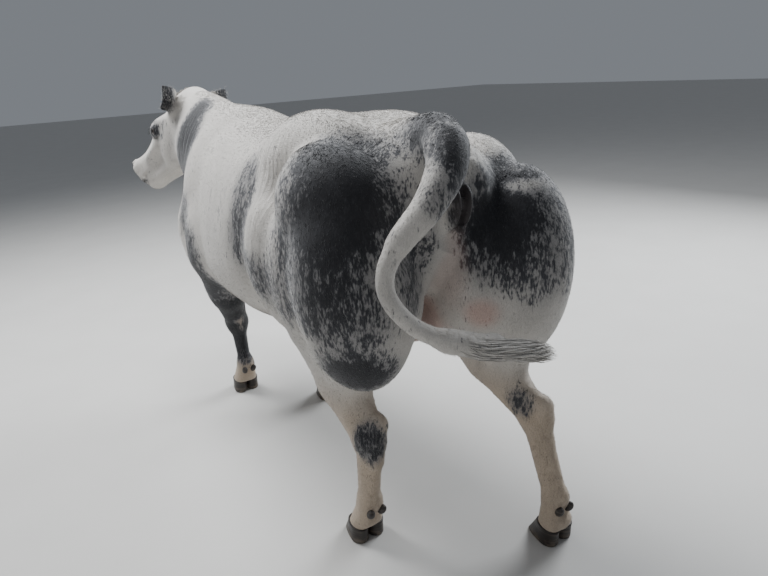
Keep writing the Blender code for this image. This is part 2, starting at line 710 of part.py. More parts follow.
class Leaf(Shape):
    """A cupped leaf in its own frame: y from root to tip, x across, z out of the cup."""

    def __init__(self, frame, length, width, wall, blend):
        self.frame = frame
        self.origin = np.array(frame.translation)
        self.axes = np.array(frame.to_3x3())
        self.length = length
        self.width = width
        self.wall = wall
        self.blend = blend
        tip = self.origin + self.axes[:, 1] * length
        self.low = np.minimum(self.origin, tip) - width
        self.high = np.maximum(self.origin, tip) + width

    def half_width(self, share):
        spread = 0.45 + 0.55 * np.sin(0.5 * math.pi * np.minimum(share / 0.42, 1.0))
        return 0.5 * self.width * spread * (1.0 - share**2) ** 0.7

    def middle(self, x, share):
        """Height of the leaf: a deep cup at the root that opens towards the tip, with the tip bent back."""
        curl = 13.0 * (1.0 - share) ** 1.5 + 3.0
        return curl * x**2 - 0.030 * np.sin(math.pi * share) - 0.020 * share**3

    def distance(self, points):
        local = (points - self.origin) @ self.axes
        share = np.clip(local[:, 1] / self.length, 0.0, 1.0)
        half = self.half_width(share)
        x = np.clip(local[:, 0], -half, half)
        lean = 1.0 / np.sqrt(1.0 + (26.0 * (1.0 - share) ** 1.5 + 6.0) ** 2 * x**2)
        through = (local[:, 2] - self.middle(x, share)) * lean
        beyond = np.maximum(np.abs(local[:, 0]) - half, 0.0)
        past = np.abs(local[:, 1] - share * self.length)
        wall = self.wall * (1.0 - 0.45 * share)
        return np.sqrt(through**2 + beyond**2 + past**2) - wall

    def lump(self, clay):
        for share in np.linspace(0.0, 0.98, 60):
            half = float(self.half_width(share))
            for side in np.linspace(-1.0, 1.0, max(3, math.ceil(2 * half / 0.003))):
                x = side * half
                z = self.middle(x, share)
                centre = self.origin + self.axes @ (x, share * self.length, z)
                clay.add_ball(centre, np.eye(3) * self.wall * 0.9)


def ear_frame(side):
    """The ear's own frame: root at the skull, y to the tip, z out of the cup."""
    root = Vector((side * EAR_ROOT[0], *EAR_ROOT[1:]))
    run = (Vector((side * EAR_TIP[0], *EAR_TIP[1:])) - root).normalized()
    opens = Vector((side * EAR_OPENS[0], *EAR_OPENS[1:]))
    opens = (opens - opens.dot(run) * run).normalized()
    across = run.cross(opens)
    turn = Matrix((across, run, opens)).transposed()
    return Matrix.Translation(root) @ turn.to_4x4()


def ear_root():
    """The thick base that the ear cup grows from, shared by the skull and the ear."""
    place = ear_frame(1)
    length = (Vector(EAR_TIP) - Vector(EAR_ROOT)).length
    out = place @ Vector((0, 0.48 * length, -EAR_BACK))
    return Limb(EAR_ROOT, tuple(out), 0.034, 0.017, blend=0.02)


def ear(frame, side):
    """One ear, in world coordinates."""
    length = (Vector(EAR_TIP) - Vector(EAR_ROOT)).length
    root = ear_root()
    if side < 0:
        root = Limb(root.start * (-1, 1, 1), (root.start + root.run) * (-1, 1, 1), root.radius, root.end_radius)
    leaf = Leaf(ear_frame(side) @ Matrix.Translation((0, EAR_START, 0)), length - EAR_START, EAR_WIDTH, EAR_WALL, 0.012)
    return Placed(frame, Group([root, leaf]), 0.02)


def ear_cut(frame, side, half=0.034):
    place = frame @ ear_frame(side)
    out = place @ Vector((0, EAR_CUT, -0.8 * EAR_BACK))
    run = place.to_3x3() @ Vector((0, 1, 0))
    return Slab(out, half, half, run.to_track_quat("Z", "Y"))


def cut_apart(obj, slabs):
    """Cuts the object by each slab in turn and returns its loose pieces."""
    for slab in slabs:
        plate = bmesh.new()
        bmesh.ops.create_cube(plate, size=1.0, matrix=slab.place @ slab.size)
        mesh = bpy.data.meshes.new("plate")
        plate.to_mesh(mesh)
        plate.free()
        knife = new_object("knife", mesh)
        cut = obj.modifiers.new("cut", "BOOLEAN")
        cut.object = knife
        apply_modifiers(obj)
        bpy.data.objects.remove(knife)
    return loose_pieces(obj)


def loose_pieces(obj):
    """Splits the object into one new object for each connected surface, largest first."""
    whole = bmesh.new()
    whole.from_mesh(obj.data)
    label = {}
    pieces = []
    for seed in whole.verts:
        if seed in label:
            continue
        label[seed] = len(pieces)
        found = [seed]
        for vertex in found:
            for edge in vertex.link_edges:
                other = edge.other_vert(vertex)
                if other not in label:
                    label[other] = len(pieces)
                    found.append(other)
        pieces.append(found)
    objects = []
    for found in sorted(pieces, key=len, reverse=True):
        made = whole.copy()
        made.verts.ensure_lookup_table()
        keep = {vertex.index for vertex in found}
        bmesh.ops.delete(made, geom=[v for v in made.verts if v.index not in keep], context="VERTS")
        mesh = bpy.data.meshes.new("piece")
        made.to_mesh(mesh)
        made.free()
        objects.append(new_object("piece", mesh))
    whole.free()
    bpy.data.objects.remove(obj)
    return objects


# How finely each skin is grown, and how many triangles it keeps.
BODY_VOXEL = 0.0085
HEAD_VOXEL = 0.0040
EAR_VOXEL = 0.0025
TAIL_VOXEL = 0.0050
BODY_TRIANGLES = 5900
HEAD_TRIANGLES = 3900
EAR_TRIANGLES = 420
TAIL_TRIANGLES = 900
KEEP_STRENGTH = 0.00002
RELAX_STEP = 0.003
RELAX_ROUNDS = 14

# Colour, roughness and metallic value of each kind of surface.
LOOKS = {
    "cream": ((0.62, 0.57, 0.50), 0.85, 0.0),
    "roan": ((0.33, 0.33, 0.35), 0.85, 0.0),
    "white": ((0.74, 0.71, 0.66), 0.85, 0.0),
    "dark": ((0.10, 0.10, 0.11), 0.80, 0.0),
    "horn": ((0.07, 0.06, 0.05), 0.45, 0.0),
    "eye": ((0.015, 0.010, 0.008), 0.08, 0.0),
}


def thin_out(obj, triangles, kept=()):
    """Collapses edges until about this many triangles are left, and hardly any in the kept shapes."""
    tris = obj.modifiers.new("triangles", "TRIANGULATE")
    tris.min_vertices = 4
    apply_modifiers(obj)
    fewer = obj.modifiers.new("fewer", "DECIMATE")
    fewer.ratio = triangles / len(obj.data.polygons)
    fewer.use_collapse_triangulate = True
    if kept:
        points = positions(obj.data)
        free = np.min([shape.distance(points) for shape in kept], axis=0) > 0
        group = obj.vertex_groups.new(name="free")
        group.add(np.flatnonzero(free).tolist(), 1.0, "REPLACE")
        fewer.vertex_group = group.name
        fewer.vertex_group_factor = KEEP_STRENGTH
    apply_modifiers(obj)
    obj.vertex_groups.clear()


def face_details(frame):
    """Round the lids, the nostrils and the line of the mouth."""
    shapes = [
        Mirrored(Ellipsoid(shifted(EYE_PLACE, (0.018, 0, 0)), (0.026, 0.030, 0.026))),
        Mirrored(Ellipsoid((0.051, -0.494, -0.058), (0.024, 0.026, 0.026))),
        Mirrored(Limb((0.046, -0.506, -0.141), (0.082, -0.385, -0.132), 0.011, 0.009)),
        Limb((-0.046, -0.508, -0.143), (0.046, -0.508, -0.143), 0.011, 0.011),
    ]
    return [Placed(frame, shape, 0) for shape in shapes]


def centre_of(obj):
    return Vector(positions(obj.data).mean(axis=0))


def claim(pieces, name, point):
    """Names the piece that comes nearest to a point."""
    best = min(pieces, key=lambda piece: length_of(positions(piece.data) - np.array(point)).min())
    best.name = name
    pieces.remove(best)
    return best


def keep_beyond(pieces, slab):
    """The largest piece on the far side of a slab; the others are removed."""
    along = slab.place.to_3x3() @ Vector((0, 0, 1))
    beyond = [p for p in pieces if (centre_of(p) - slab.place.translation).dot(along) > 0]
    best = beyond[0]
    for piece in pieces:
        if piece is not best:
            bpy.data.objects.remove(piece)
    return best


def make_body(frame):
    """Torso, neck, and the four lengths of each leg, from one skin."""
    hide = grow_hide(whole_animal(frame), BODY_VOXEL)
    thin_out(hide, BODY_TRIANGLES)
    pieces = cut_apart(hide, body_cuts() + [head_cut(frame), tail_cut("root")])
    nodes = {
        "torso": claim(pieces, "torso", (0, 0, 1.28)),
        "neck": claim(pieces, "neck", (0, -0.85, 1.33)),
    }
    for foot, (x, y) in FEET.items():
        limb, side = foot.split("_")
        s = 1 if side == "left" else -1
        if limb == "fore":
            nodes[f"fore_arm_{side}"] = claim(pieces, f"fore_arm_{side}", (x, y, KNEE_HEIGHT))
        else:
            thigh = (s * 0.36, 0.50 + 0.3 * (y - HIND_STAND_Y), 0.82)
            nodes[f"hind_thigh_{side}"] = claim(pieces, f"hind_thigh_{side}", thigh)
            nodes[f"hind_shank_{side}"] = claim(pieces, f"hind_shank_{side}", (x, y, HOCK_HEIGHT))
        nodes[f"{limb}_foot_{side}"] = claim(pieces, f"{limb}_foot_{side}", (x, y, FETLOCK_HEIGHT))
    for scrap in pieces:
        bpy.data.objects.remove(scrap)
    return nodes


def make_head(frame):
    """The head at a finer grain, with a socket for each eye, and the eyes and ears."""
    hide = grow_hide(Group([neck(frame), Placed(frame, skull(), 0.035)]), HEAD_VOXEL, RELAX_ROUNDS)
    thin_out(hide, round(HEAD_TRIANGLES * 1.2), face_details(frame))
    slabs = [head_cut(frame), ear_cut(frame, 1), ear_cut(frame, -1)]
    pieces = cut_apart(hide, slabs)
    head = claim(pieces, "head", frame @ Vector((0, -0.30, 0)))
    for scrap in pieces:
        bpy.data.objects.remove(scrap)
    nodes = {"head": head}
    for side, word in ((1, "left"), (-1, "right")):
        place = frame @ Vector((side * EYE_PLACE[0], *EYE_PLACE[1:]))
        eye = ball(f"eye_{word}", place, (HEAD_SIZE * EYE_RADIUS,) * 3, degrees(0, 0, 0), fineness=3)
        bore(head, eye)
        nodes[eye.name] = eye
        pinna = grow_hide(ear(frame, side), EAR_VOXEL)
        thin_out(pinna, EAR_TRIANGLES)
        slab = ear_cut(frame, side, EAR_WIDTH)
        pinna = keep_beyond(cut_apart(pinna, [slab]), slab)
        pinna.name = f"ear_{word}"
        nodes[pinna.name] = pinna
    return nodes


def ball(name, centre, radii, turn, fineness):
    """A faceted ellipsoid."""
    mesh = bpy.data.meshes.new(name)
    shape = bmesh.new()
    size = Matrix.Diagonal([*radii, 1.0])
    place = Matrix.Translation(Vector(centre)) @ turn.to_matrix().to_4x4() @ size
    bmesh.ops.create_icosphere(shape, subdivisions=fineness, radius=1.0, matrix=place)
    shape.to_mesh(mesh)
    shape.free()
    return new_object(name, mesh)


def bore(obj, inner):
    """Cuts from the object a bed for the inner one, a gap larger all round."""
    knife = inner.copy()
    knife.data = inner.data.copy()
    bpy.context.scene.collection.objects.link(knife)
    centre = centre_of(inner)
    radius = min(inner.dimensions) / 2
    grow = 1.0 + 1.15 * GAP / radius
    knife.data.transform(Matrix.Translation(centre) @ Matrix.Scale(grow, 4) @ Matrix.Translation(-centre))
    cut = obj.modifiers.new("bed", "BOOLEAN")
    cut.object = knife
    apply_modifiers(obj)
    bpy.data.objects.remove(knife)
    keep_largest(obj)


def keep_largest(obj):
    """Drops all but the largest closed surface of the object."""
    name = obj.name
    mesh = obj.data
    copy = new_object("copy", mesh.copy())
    pieces = loose_pieces(copy)
    obj.data = pieces[0].data.copy()
    obj.name = name
    for piece in pieces:
        bpy.data.objects.remove(piece)
    bpy.data.meshes.remove(mesh)


LOCKS = 28
LOCK_WIDTH = 0.040
LOCK_RINGS = (0.0, 0.35, 0.72)


def lock(root, run, across, length, width, bend):
    """One flat lock of hair: four-sided, bending and tapering to its tip."""
    through = run.cross(across).normalized()
    shape = bmesh.new()
    rings = []
    for share in LOCK_RINGS:
        centre = root + run * length * share + through * bend * share**2
        half = 0.5 * width * (1.0 - share) ** 0.5
        offsets = (across * half, through * 0.34 * half, across * -half, through * -0.34 * half)
        rings.append([shape.verts.new(centre + offset) for offset in offsets])
    tip = shape.verts.new(root + run * length + through * bend)
    shape.faces.new(rings[0][::-1])
    for first, second in zip(rings, rings[1:]):
        for k in range(4):
            after = (k + 1) % 4
            shape.faces.new((first[k], first[after], second[after], second[k]))
    for k in range(4):
        shape.faces.new((rings[-1][k], rings[-1][(k + 1) % 4], tip))
    bmesh.ops.recalc_face_normals(shape, faces=shape.faces)
    mesh = bpy.data.meshes.new("lock")
    shape.to_mesh(mesh)
    shape.free()
    return new_object("lock", mesh)


def make_locks():
    """Overlapping locks rooted well inside the core, the first near its top and the last out to the tip."""
    draw = random.Random(4)
    start = Vector(TAIL_PATH[-2])
    whole = Vector(SWITCH_TIP) - start
    along = whole.normalized()
    side = along.cross(Vector((0, 0, 1))).normalized()
    locks = []
    for k in range(LOCKS):
        share = 0.16 + 0.44 * k / (LOCKS - 1)
        angle = 2.4 * k + draw.uniform(-0.3, 0.3)
        out = side * math.cos(angle) + side.cross(along) * math.sin(angle)
        root = start + whole * share + out * 0.35 * SWITCH_RADIUS
        run = (along + out * draw.uniform(0.06, 0.18) + Vector((0, 0, -0.06))).normalized()
        length = draw.uniform(0.78, 1.0) * whole.length * (1.0 - share) * (0.62 + 0.38 * k / LOCKS)
        across = run.cross(out).normalized()
        locks.append(lock(root, run, across, length, LOCK_WIDTH * draw.uniform(0.8, 1.2), draw.uniform(-0.012, 0.012)))
    return locks


def fuse(obj, pieces):
    """Unites the pieces with the object and removes them."""
    home = bpy.data.collections.new("locks")
    for piece in pieces:
        home.objects.link(piece)
    join = obj.modifiers.new("join", "BOOLEAN")
    join.operation = "UNION"
    join.operand_type = "COLLECTION"
    join.collection = home
    apply_modifiers(obj)
    for piece in pieces:
        bpy.data.objects.remove(piece)
    bpy.data.collections.remove(home)
    keep_largest(obj)


def make_tail():
    """Three lengths; the last ends in the brush."""
    lengths = tail_lengths(3, len(TAIL_PATH) - 1, 0.02)
    hide = grow_hide(Group(lengths.shapes + switch()), TAIL_VOXEL)
    thin_out(hide, TAIL_TRIANGLES)
    pieces = cut_apart(hide, [tail_cut(name) for name in TAIL_CUTS])
    nodes = {
        "tail_upper": claim(pieces, "tail_upper", TAIL_PATH[5]),
        "tail_middle": claim(pieces, "tail_middle", TAIL_PATH[8]),
        "tail_switch": claim(pieces, "tail_switch", SWITCH_TIP),
    }
    fuse(nodes["tail_switch"], make_locks())
    for scrap in pieces:
        bpy.data.objects.remove(scrap)
    return nodes


CLAW_SIDES = 14
TOE_REACH = 0.050
CLAW_WIDTH = 0.054
DEWCLAW_BACK = 0.039
DEWCLAW_RADII = (0.013, 0.014, 0.021)


def claw(name, foot, side):
    """One claw: the hull of a ring under the coronet and a flat sole that reaches forward to the toe."""
    x, y = foot
    centre_x = x + side * TOE_SPREAD
    shape = bmesh.new()
    tilt = math.tan(math.radians(CORONET_TILT))
    for k in range(CLAW_SIDES):
        angle = 2 * math.pi * k / CLAW_SIDES
        ring_x = 0.5 * CLAW_WIDTH * math.cos(angle)
        ring_y = y - 0.004 + 0.038 * math.sin(angle)
        ring_z = CORONET_HEIGHT - 0.004 + tilt * (ring_y - y) - 0.6 * GAP
        shape.verts.new((centre_x + ring_x, ring_y, ring_z))
        front = max(0.0, -math.sin(angle))
        sole_x = ring_x * (0.98 - 0.25 * front) - side * 0.004 * front
        sole_y = y + 0.034 * math.sin(angle) - TOE_REACH * front
        shape.verts.new((centre_x + sole_x, sole_y, 0.0))
        shape.verts.new((centre_x + ring_x * 1.02, ring_y - 0.3 * TOE_REACH * front, 0.45 * ring_z))
    bmesh.ops.convex_hull(shape, input=shape.verts)
    mesh = bpy.data.meshes.new(name)
    shape.to_mesh(mesh)
    shape.free()
    return new_object(name, mesh)


def make_claws(nodes):
    """Two claws and two dewclaws on each foot; the dewclaws sit in beds behind the fetlock."""
    made = {}
    for foot, (x, y) in FEET.items():
        limb, side_word = foot.split("_")
        skin = nodes[f"{limb}_foot_{side_word}"]
        for side, word in ((1, "a"), (-1, "b")):
            hoof = claw(f"{limb}_hoof_{side_word}_{word}", (x, y), side)
            made[hoof.name] = hoof
            place = shifted(fetlock_of(foot), (side * 0.021, DEWCLAW_BACK, -0.024))
            turn = degrees(-35, side * 10, 0)
            spur = ball(f"{limb}_dewclaw_{side_word}_{word}", place, DEWCLAW_RADII, turn, 2)
            bore(skin, spur)
            made[spur.name] = spur
    return made


def look_of(name):
    if "hoof" in name or "dewclaw" in name:
        return "horn"
    if name.startswith("eye"):
        return "eye"
    if name.startswith("ear"):
        return "dark"
    if name in ("head", "neck", "tail_switch"):
        return "white"
    if "thigh" in name or name == "tail_upper":
        return "roan"
    return "cream"


def finish(nodes):
    """Colours every node, gathers them in one collection and stands them with their middle over the origin."""
    home = bpy.data.collections.new("belgian_blue_cow")
    bpy.context.scene.collection.children.link(home)
    everything = np.concatenate([positions(obj.data) for obj in nodes.values()])
    low, high = everything.min(axis=0), everything.max(axis=0)
    middle = Vector((-(low[0] + high[0]) / 2, -(low[1] + high[1]) / 2, -low[2]))
    for name, obj in nodes.items():
        colour, roughness, metallic = LOOKS[look_of(name)]
        material = bpy.data.materials.new(name)
        material.use_nodes = True
        surface = material.node_tree.nodes["Principled BSDF"]
        surface.inputs["Base Color"].default_value = (*colour, 1.0)
        surface.inputs["Roughness"].default_value = roughness
        surface.inputs["Metallic"].default_value = metallic
        obj.data.materials.clear()
        obj.data.materials.append(material)
        obj.data.transform(Matrix.Translation(middle))
        bpy.context.scene.collection.objects.unlink(obj)
        home.objects.link(obj)


def main():
    clear_scene()
    frame = head_frame()
    nodes = make_body(frame)
    nodes.update(make_head(frame))
    nodes.update(make_tail())
    nodes.update(make_claws(nodes))
    finish(nodes)


if __name__ == "__main__":
    main()
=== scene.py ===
"""A Belgian Blue cow at rest, life size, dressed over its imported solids.

One skin with the coat's markings, short flat tufts over it, long hair on the tail, wet eyes and dark horn
claws, on a pale floor under soft light.
"""

import json
import math

import bmesh
import bpy
import numpy as np
from mathutils import Euler, Matrix, Vector

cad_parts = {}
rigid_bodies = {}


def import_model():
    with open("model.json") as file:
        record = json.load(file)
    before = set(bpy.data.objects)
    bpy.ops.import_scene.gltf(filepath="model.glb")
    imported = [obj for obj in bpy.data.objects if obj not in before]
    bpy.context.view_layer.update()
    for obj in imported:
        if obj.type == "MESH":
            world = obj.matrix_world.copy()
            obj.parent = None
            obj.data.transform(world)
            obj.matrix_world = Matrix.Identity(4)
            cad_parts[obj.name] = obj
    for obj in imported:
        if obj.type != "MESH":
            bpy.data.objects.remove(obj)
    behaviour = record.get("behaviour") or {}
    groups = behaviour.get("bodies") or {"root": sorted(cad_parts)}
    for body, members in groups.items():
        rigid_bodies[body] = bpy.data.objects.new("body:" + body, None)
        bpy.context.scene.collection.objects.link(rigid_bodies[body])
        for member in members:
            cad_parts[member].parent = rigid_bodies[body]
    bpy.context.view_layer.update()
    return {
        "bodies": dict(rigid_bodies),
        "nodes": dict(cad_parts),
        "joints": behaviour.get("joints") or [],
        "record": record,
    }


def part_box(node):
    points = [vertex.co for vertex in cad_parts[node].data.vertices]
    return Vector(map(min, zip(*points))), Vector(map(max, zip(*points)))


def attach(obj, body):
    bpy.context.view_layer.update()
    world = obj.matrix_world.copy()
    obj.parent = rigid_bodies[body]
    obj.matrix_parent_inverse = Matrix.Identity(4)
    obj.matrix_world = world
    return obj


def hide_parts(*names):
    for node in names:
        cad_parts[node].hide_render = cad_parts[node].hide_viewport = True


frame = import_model()
bpy.ops.object.select_all(action="DESELECT")


# The form of the body under its coat: barrel, shoulders and neck, each a blend of rounded muscle bellies, as
# the solids have them. A lump of rough balls is skinned in voxels and then drawn onto the blended form.
CHEST_BOTTOM = 0.545
BELLY_HALF_WIDTH = 0.350
PIN_BONE_Y = 0.760
KNEE_HEIGHT = 0.365
HOCK_HEIGHT = 0.395
FETLOCK_HEIGHT = 0.150
CORONET_HEIGHT = 0.066
HIND_STAND_Y = 0.680
FEET = {
    "fore_left": (0.080, -0.685),
    "fore_right": (-0.190, -0.345),
    "hind_left": (0.205, 0.540),
    "hind_right": (-0.245, 0.930),
}
POLL = (0.034, -1.045, 1.352)
HEAD_DOWN = 35.0
HEAD_LEFT = 17.0
HEAD_ROLL = -6.0
HEAD_SIZE = 1.03
FAR = 1.0
SMALL = 1e-9


def dot(rows, others):
    return np.einsum("ij,ij->i", rows, others)


def length_of(rows):
    return np.sqrt(dot(rows, rows))


def smooth_union(first, second, blend):
    """The nearer of two distances, rounded where they are within blend of each other."""
    share = np.clip(0.5 + 0.5 * (second - first) / blend, 0.0, 1.0)
    return second + (first - second) * share - blend * share * (1.0 - share)


def unit_sphere(fineness):
    ball = bmesh.new()
    bmesh.ops.create_icosphere(ball, subdivisions=fineness, radius=1.0)
    points = np.array([vertex.co for vertex in ball.verts])
    faces = np.array([[vertex.index for vertex in face.verts] for face in ball.faces])
    ball.free()
    return points, faces


class Clay:
    """Rough closed lumps, gathered before one skin is grown over them."""

    def __init__(self):
        self.points = []
        self.faces = []
        self.count = 0
        self.ball = unit_sphere(2)

    def add(self, points, faces):
        self.points.append(points)
        self.faces.extend((faces + self.count).tolist())
        self.count += len(points)

    def add_ball(self, centre, axes):
        points, faces = self.ball
        self.add(points @ np.asarray(axes).T + np.asarray(centre), faces)

    def mesh(self, name):
        made = bpy.data.meshes.new(name)
        made.from_pydata(np.concatenate(self.points).tolist(), [], self.faces)
        return made


class Shape:
    """What every shape shares: a box outside which it has no effect."""

    def near(self, points):
        inside = points[:, 0] > self.low[0]
        for axis in range(3):
            inside &= (points[:, axis] > self.low[axis]) & (points[:, axis] < self.high[axis])
        return inside


class Ellipsoid(Shape):
    """A muscle belly or a bony knob, turned by Euler degrees about its centre."""

    def __init__(self, centre, radii, turn=(0, 0, 0), blend=0.03):
        self.centre = np.array(centre, float)
        self.radii = np.array(radii, float)
        self.axes = np.array(Euler([math.radians(a) for a in turn]).to_matrix())
        self.blend = blend
        reach = np.sqrt(((self.axes * self.radii) ** 2).sum(axis=1)) + 1.5 * blend + 0.01
        self.low = self.centre - reach
        self.high = self.centre + reach

    def distance(self, points):
        local = (points - self.centre) @ self.axes
        outer = length_of(local / self.radii)
        inner = length_of(local / self.radii**2)
        return outer * (outer - 1.0) / np.maximum(inner, SMALL)

    def lump(self, clay):
        clay.add_ball(self.centre, self.axes * self.radii)


class Limb(Shape):
    """A tapered round length between two joints; wide stretches its section along the axes."""

    def __init__(self, start, end, radius, end_radius, wide=(1, 1, 1), blend=0.03):
        self.start = np.array(start, float)
        self.run = np.array(end, float) - self.start
        self.radius = radius
        self.end_radius = end_radius
        self.wide = np.array(wide, float)
        self.blend = blend
        margin = max(radius, end_radius) * self.wide.max() + 1.5 * blend + 0.01
        ends = np.array([self.start, self.start + self.run])
        self.low = ends.min(axis=0) - margin
        self.high = ends.max(axis=0) + margin

    def distance(self, points):
        away = points - self.start
        along = np.clip(away @ self.run / (self.run @ self.run), 0.0, 1.0)
        offset = (away - along[:, None] * self.run) / self.wide
        return length_of(offset) - (self.radius + (self.end_radius - self.radius) * along)

    def lump(self, clay):
        step = 0.5 * min(self.radius, self.end_radius)
        count = max(2, math.ceil(np.linalg.norm(self.run) / step) + 1)
        for share in np.linspace(0.0, 1.0, count):
            radius = self.radius + (self.end_radius - self.radius) * share
            clay.add_ball(self.start + share * self.run, np.diag(radius * self.wide))


class Loft(Shape):
    """A body of changing section; each station is (y, top, bottom, half width, height of widest)."""

    SIDES = 28
    RINGS = 24

    def __init__(self, stations, square=2.2, blend=0.04):
        rows = np.array(stations, float)
        self.square = square
        self.blend = blend
        self.first, self.last = rows[0, 0], rows[-1, 0]
        self.dense = np.linspace(self.first, self.last, 121)
        self.curves = [smooth_curve(self.dense, rows[:, 0], rows[:, k]) for k in range(1, 5)]
        half = rows[:, 3].max() + 0.06
        self.low = np.array([-half, self.first - 0.06, rows[:, 2].min() - 0.06])
        self.high = np.array([half, self.last + 0.06, rows[:, 1].max() + 0.06])

    def section(self, along):
        return [np.interp(along, self.dense, curve) for curve in self.curves]

    def distance(self, points):
        along = np.clip(points[:, 1], self.first, self.last)
        top, bottom, half, widest = self.section(along)
        side = np.abs(points[:, 0])
        rise = points[:, 2] - widest
        depth = np.where(rise > 0, top - widest, widest - bottom)
        power = self.square
        level = ((side / half) ** power + (np.abs(rise) / depth) ** power) ** (1.0 / power)
        across = np.hypot(side, rise) * (1.0 - 1.0 / np.maximum(level, 1e-4))
        past = np.abs(points[:, 1] - along)
        return np.where(past > 0, np.hypot(np.maximum(across, 0.0), past), across)

    def lump(self, clay):
        angles = np.linspace(0.0, 2 * math.pi, self.SIDES, endpoint=False)
        rings = []
        for along in np.linspace(self.first, self.last, self.RINGS):
            top, bottom, half, widest = self.section(along)
            rise = np.sin(angles)
            depth = np.where(rise > 0, top - widest, widest - bottom)
            rings.append(np.column_stack((half * np.cos(angles), 0 * angles + along, widest + depth * rise)))
        centres = [rings[0].mean(axis=0), rings[-1].mean(axis=0)]
        faces = []
        for k in range(self.RINGS - 1):
            for side in range(self.SIDES):
                a = k * self.SIDES + side
                b = k * self.SIDES + (side + 1) % self.SIDES
                faces += [(a, b, b + self.SIDES), (a, b + self.SIDES, a + self.SIDES)]
        front, back = self.RINGS * self.SIDES, self.RINGS * self.SIDES + 1
        for side in range(self.SIDES):
            after = (side + 1) % self.SIDES
            faces.append((front, after, side))
            last = front - self.SIDES
            faces.append((back, last + side, last + after))
        clay.add(np.vstack(rings + [centres]), np.array(faces))


def smooth_curve(places, knots, values):
    """A cubic through the stations with the slopes of their neighbours."""
    slopes = np.gradient(values, knots)
    k = np.clip(np.searchsorted(knots, places) - 1, 0, len(knots) - 2)
    gap = knots[k + 1] - knots[k]
    t = (places - knots[k]) / gap
    return (
        values[k] * (1 + 2 * t) * (1 - t) ** 2
        + slopes[k] * gap * t * (1 - t) ** 2
        + values[k + 1] * t**2 * (3 - 2 * t)
        + slopes[k + 1] * gap * t**2 * (t - 1)
    )


class Group(Shape):
    """Shapes joined in order, each with its own blend, less the cuts; then joined with its blend."""

    def __init__(self, shapes, blend=0.03, cuts=()):
        self.shapes = list(shapes)
        self.cuts = list(cuts)
        self.blend = blend
        self.low = np.min([shape.low for shape in self.shapes], axis=0) - blend
        self.high = np.max([shape.high for shape in self.shapes], axis=0) + blend

    def distance(self, points):
        depth = np.full(len(points), FAR)
        for shape in self.shapes:
            close = shape.near(points)
            if close.any():
                depth[close] = smooth_union(depth[close], shape.distance(points[close]), shape.blend)
        for shape in self.cuts:
            close = shape.near(points)
            if close.any():
                depth[close] = -smooth_union(-depth[close], shape.distance(points[close]), shape.blend)
        return depth

    def lump(self, clay):
        for shape in self.shapes:
            shape.lump(clay)


class Placed(Shape):
    """A group modelled in another frame, which may also enlarge it."""

    def __init__(self, frame, group, blend):
        self.origin = np.array(frame.translation)
        self.size = frame.to_scale()[0]
        self.axes = np.array(frame.to_3x3()) / self.size
        self.group = group
        self.blend = blend
        corners = np.array([[x, y, z] for x in (0, 1) for y in (0, 1) for z in (0, 1)])
        box = self.size * (group.low + corners * (group.high - group.low)) @ self.axes.T + self.origin
        self.low = box.min(axis=0) - blend
        self.high = box.max(axis=0) + blend

    def distance(self, points):
        return self.size * self.group.distance((points - self.origin) @ self.axes / self.size)

    def lump(self, clay):
        own = Clay()
        self.group.lump(own)
        clay.add(self.size * np.concatenate(own.points) @ self.axes.T + self.origin, np.array(own.faces))


class Mirrored(Shape):
    """A shape on the left of its own frame, and its mirror image on the right."""

    def __init__(self, shape):
        self.shape = shape
        self.blend = shape.blend
        self.low = shape.low.copy()
        self.high = shape.high.copy()
        self.low[0] = -self.high[0]

    def distance(self, points):
        folded = points.copy()
        folded[:, 0] = np.abs(folded[:, 0])
        return self.shape.distance(folded)

    def lump(self, clay):
        self.shape.lump(clay)
        own = Clay()
        self.shape.lump(own)
        flipped = np.concatenate(own.points) * (-1, 1, 1)
        clay.add(flipped, np.array(own.faces)[:, ::-1])


def pairs(shapes):
    """Each shape with its mirror image."""
    return [Mirrored(shape) for shape in shapes]


def fetlock_of(name):
    """The fetlock joint; a hind foot set far back has it over the toes."""
    x, y = FEET[name]
    if name.startswith("fore"):
        return (x, y + 0.022, FETLOCK_HEIGHT)
    return (x, y + 0.024 - 0.13 * max(y - HIND_STAND_Y, 0.0), FETLOCK_HEIGHT)


def mix(a, b, share, shift=(0, 0, 0)):
    return tuple(p + (q - p) * share + d for p, q, d in zip(a, b, shift))


def shifted(a, shift):
    return tuple(p + d for p, d in zip(a, shift))


def trunk():
    """Rib cage, belly, loin and pelvis as one barrel, from the chest to the tail head."""
    wide = BELLY_HALF_WIDTH
    stations = (
        (-0.85, 1.130, 0.700, 0.130, 0.88),
        (-0.78, 1.210, 0.610, 0.195, 0.84),
        (-0.65, 1.270, 0.565, 0.240, 0.81),
        (-0.45, 1.292, CHEST_BOTTOM, 0.282, 0.80),
        (-0.20, 1.280, CHEST_BOTTOM, wide - 0.022, 0.83),
        (0.05, 1.290, 0.562, wide - 0.005, 0.87),
        (0.28, 1.305, 0.625, 0.290, 0.96),
        (0.50, 1.290, 0.735, 0.220, 1.05),
        (0.68, 1.262, 0.850, 0.150, 1.08),
        (0.76, 1.215, 0.950, 0.085, 1.09),
    )
    shapes = [
        Loft(stations, square=2.12),
        Ellipsoid((0, -0.500, 1.230), (0.110, 0.240, 0.080), blend=0.07),
        Ellipsoid((0, -0.770, 0.670), (0.155, 0.175, 0.125), (24, 0, 0), 0.08),
        Ellipsoid((0, -0.540, 0.600), (0.125, 0.270, 0.065), blend=0.06),
        Ellipsoid((0, -0.770, 0.860), (0.165, 0.160, 0.230), blend=0.07),
        Ellipsoid((0, 0.500, 0.705), (0.080, 0.130, 0.075), (-12, 0, 0), 0.04),
        Ellipsoid((0, 0.270, 0.670), (0.200, 0.160, 0.075), (-16, 0, 0), 0.07),
    ]
    return Group(shapes, blend=0.03)


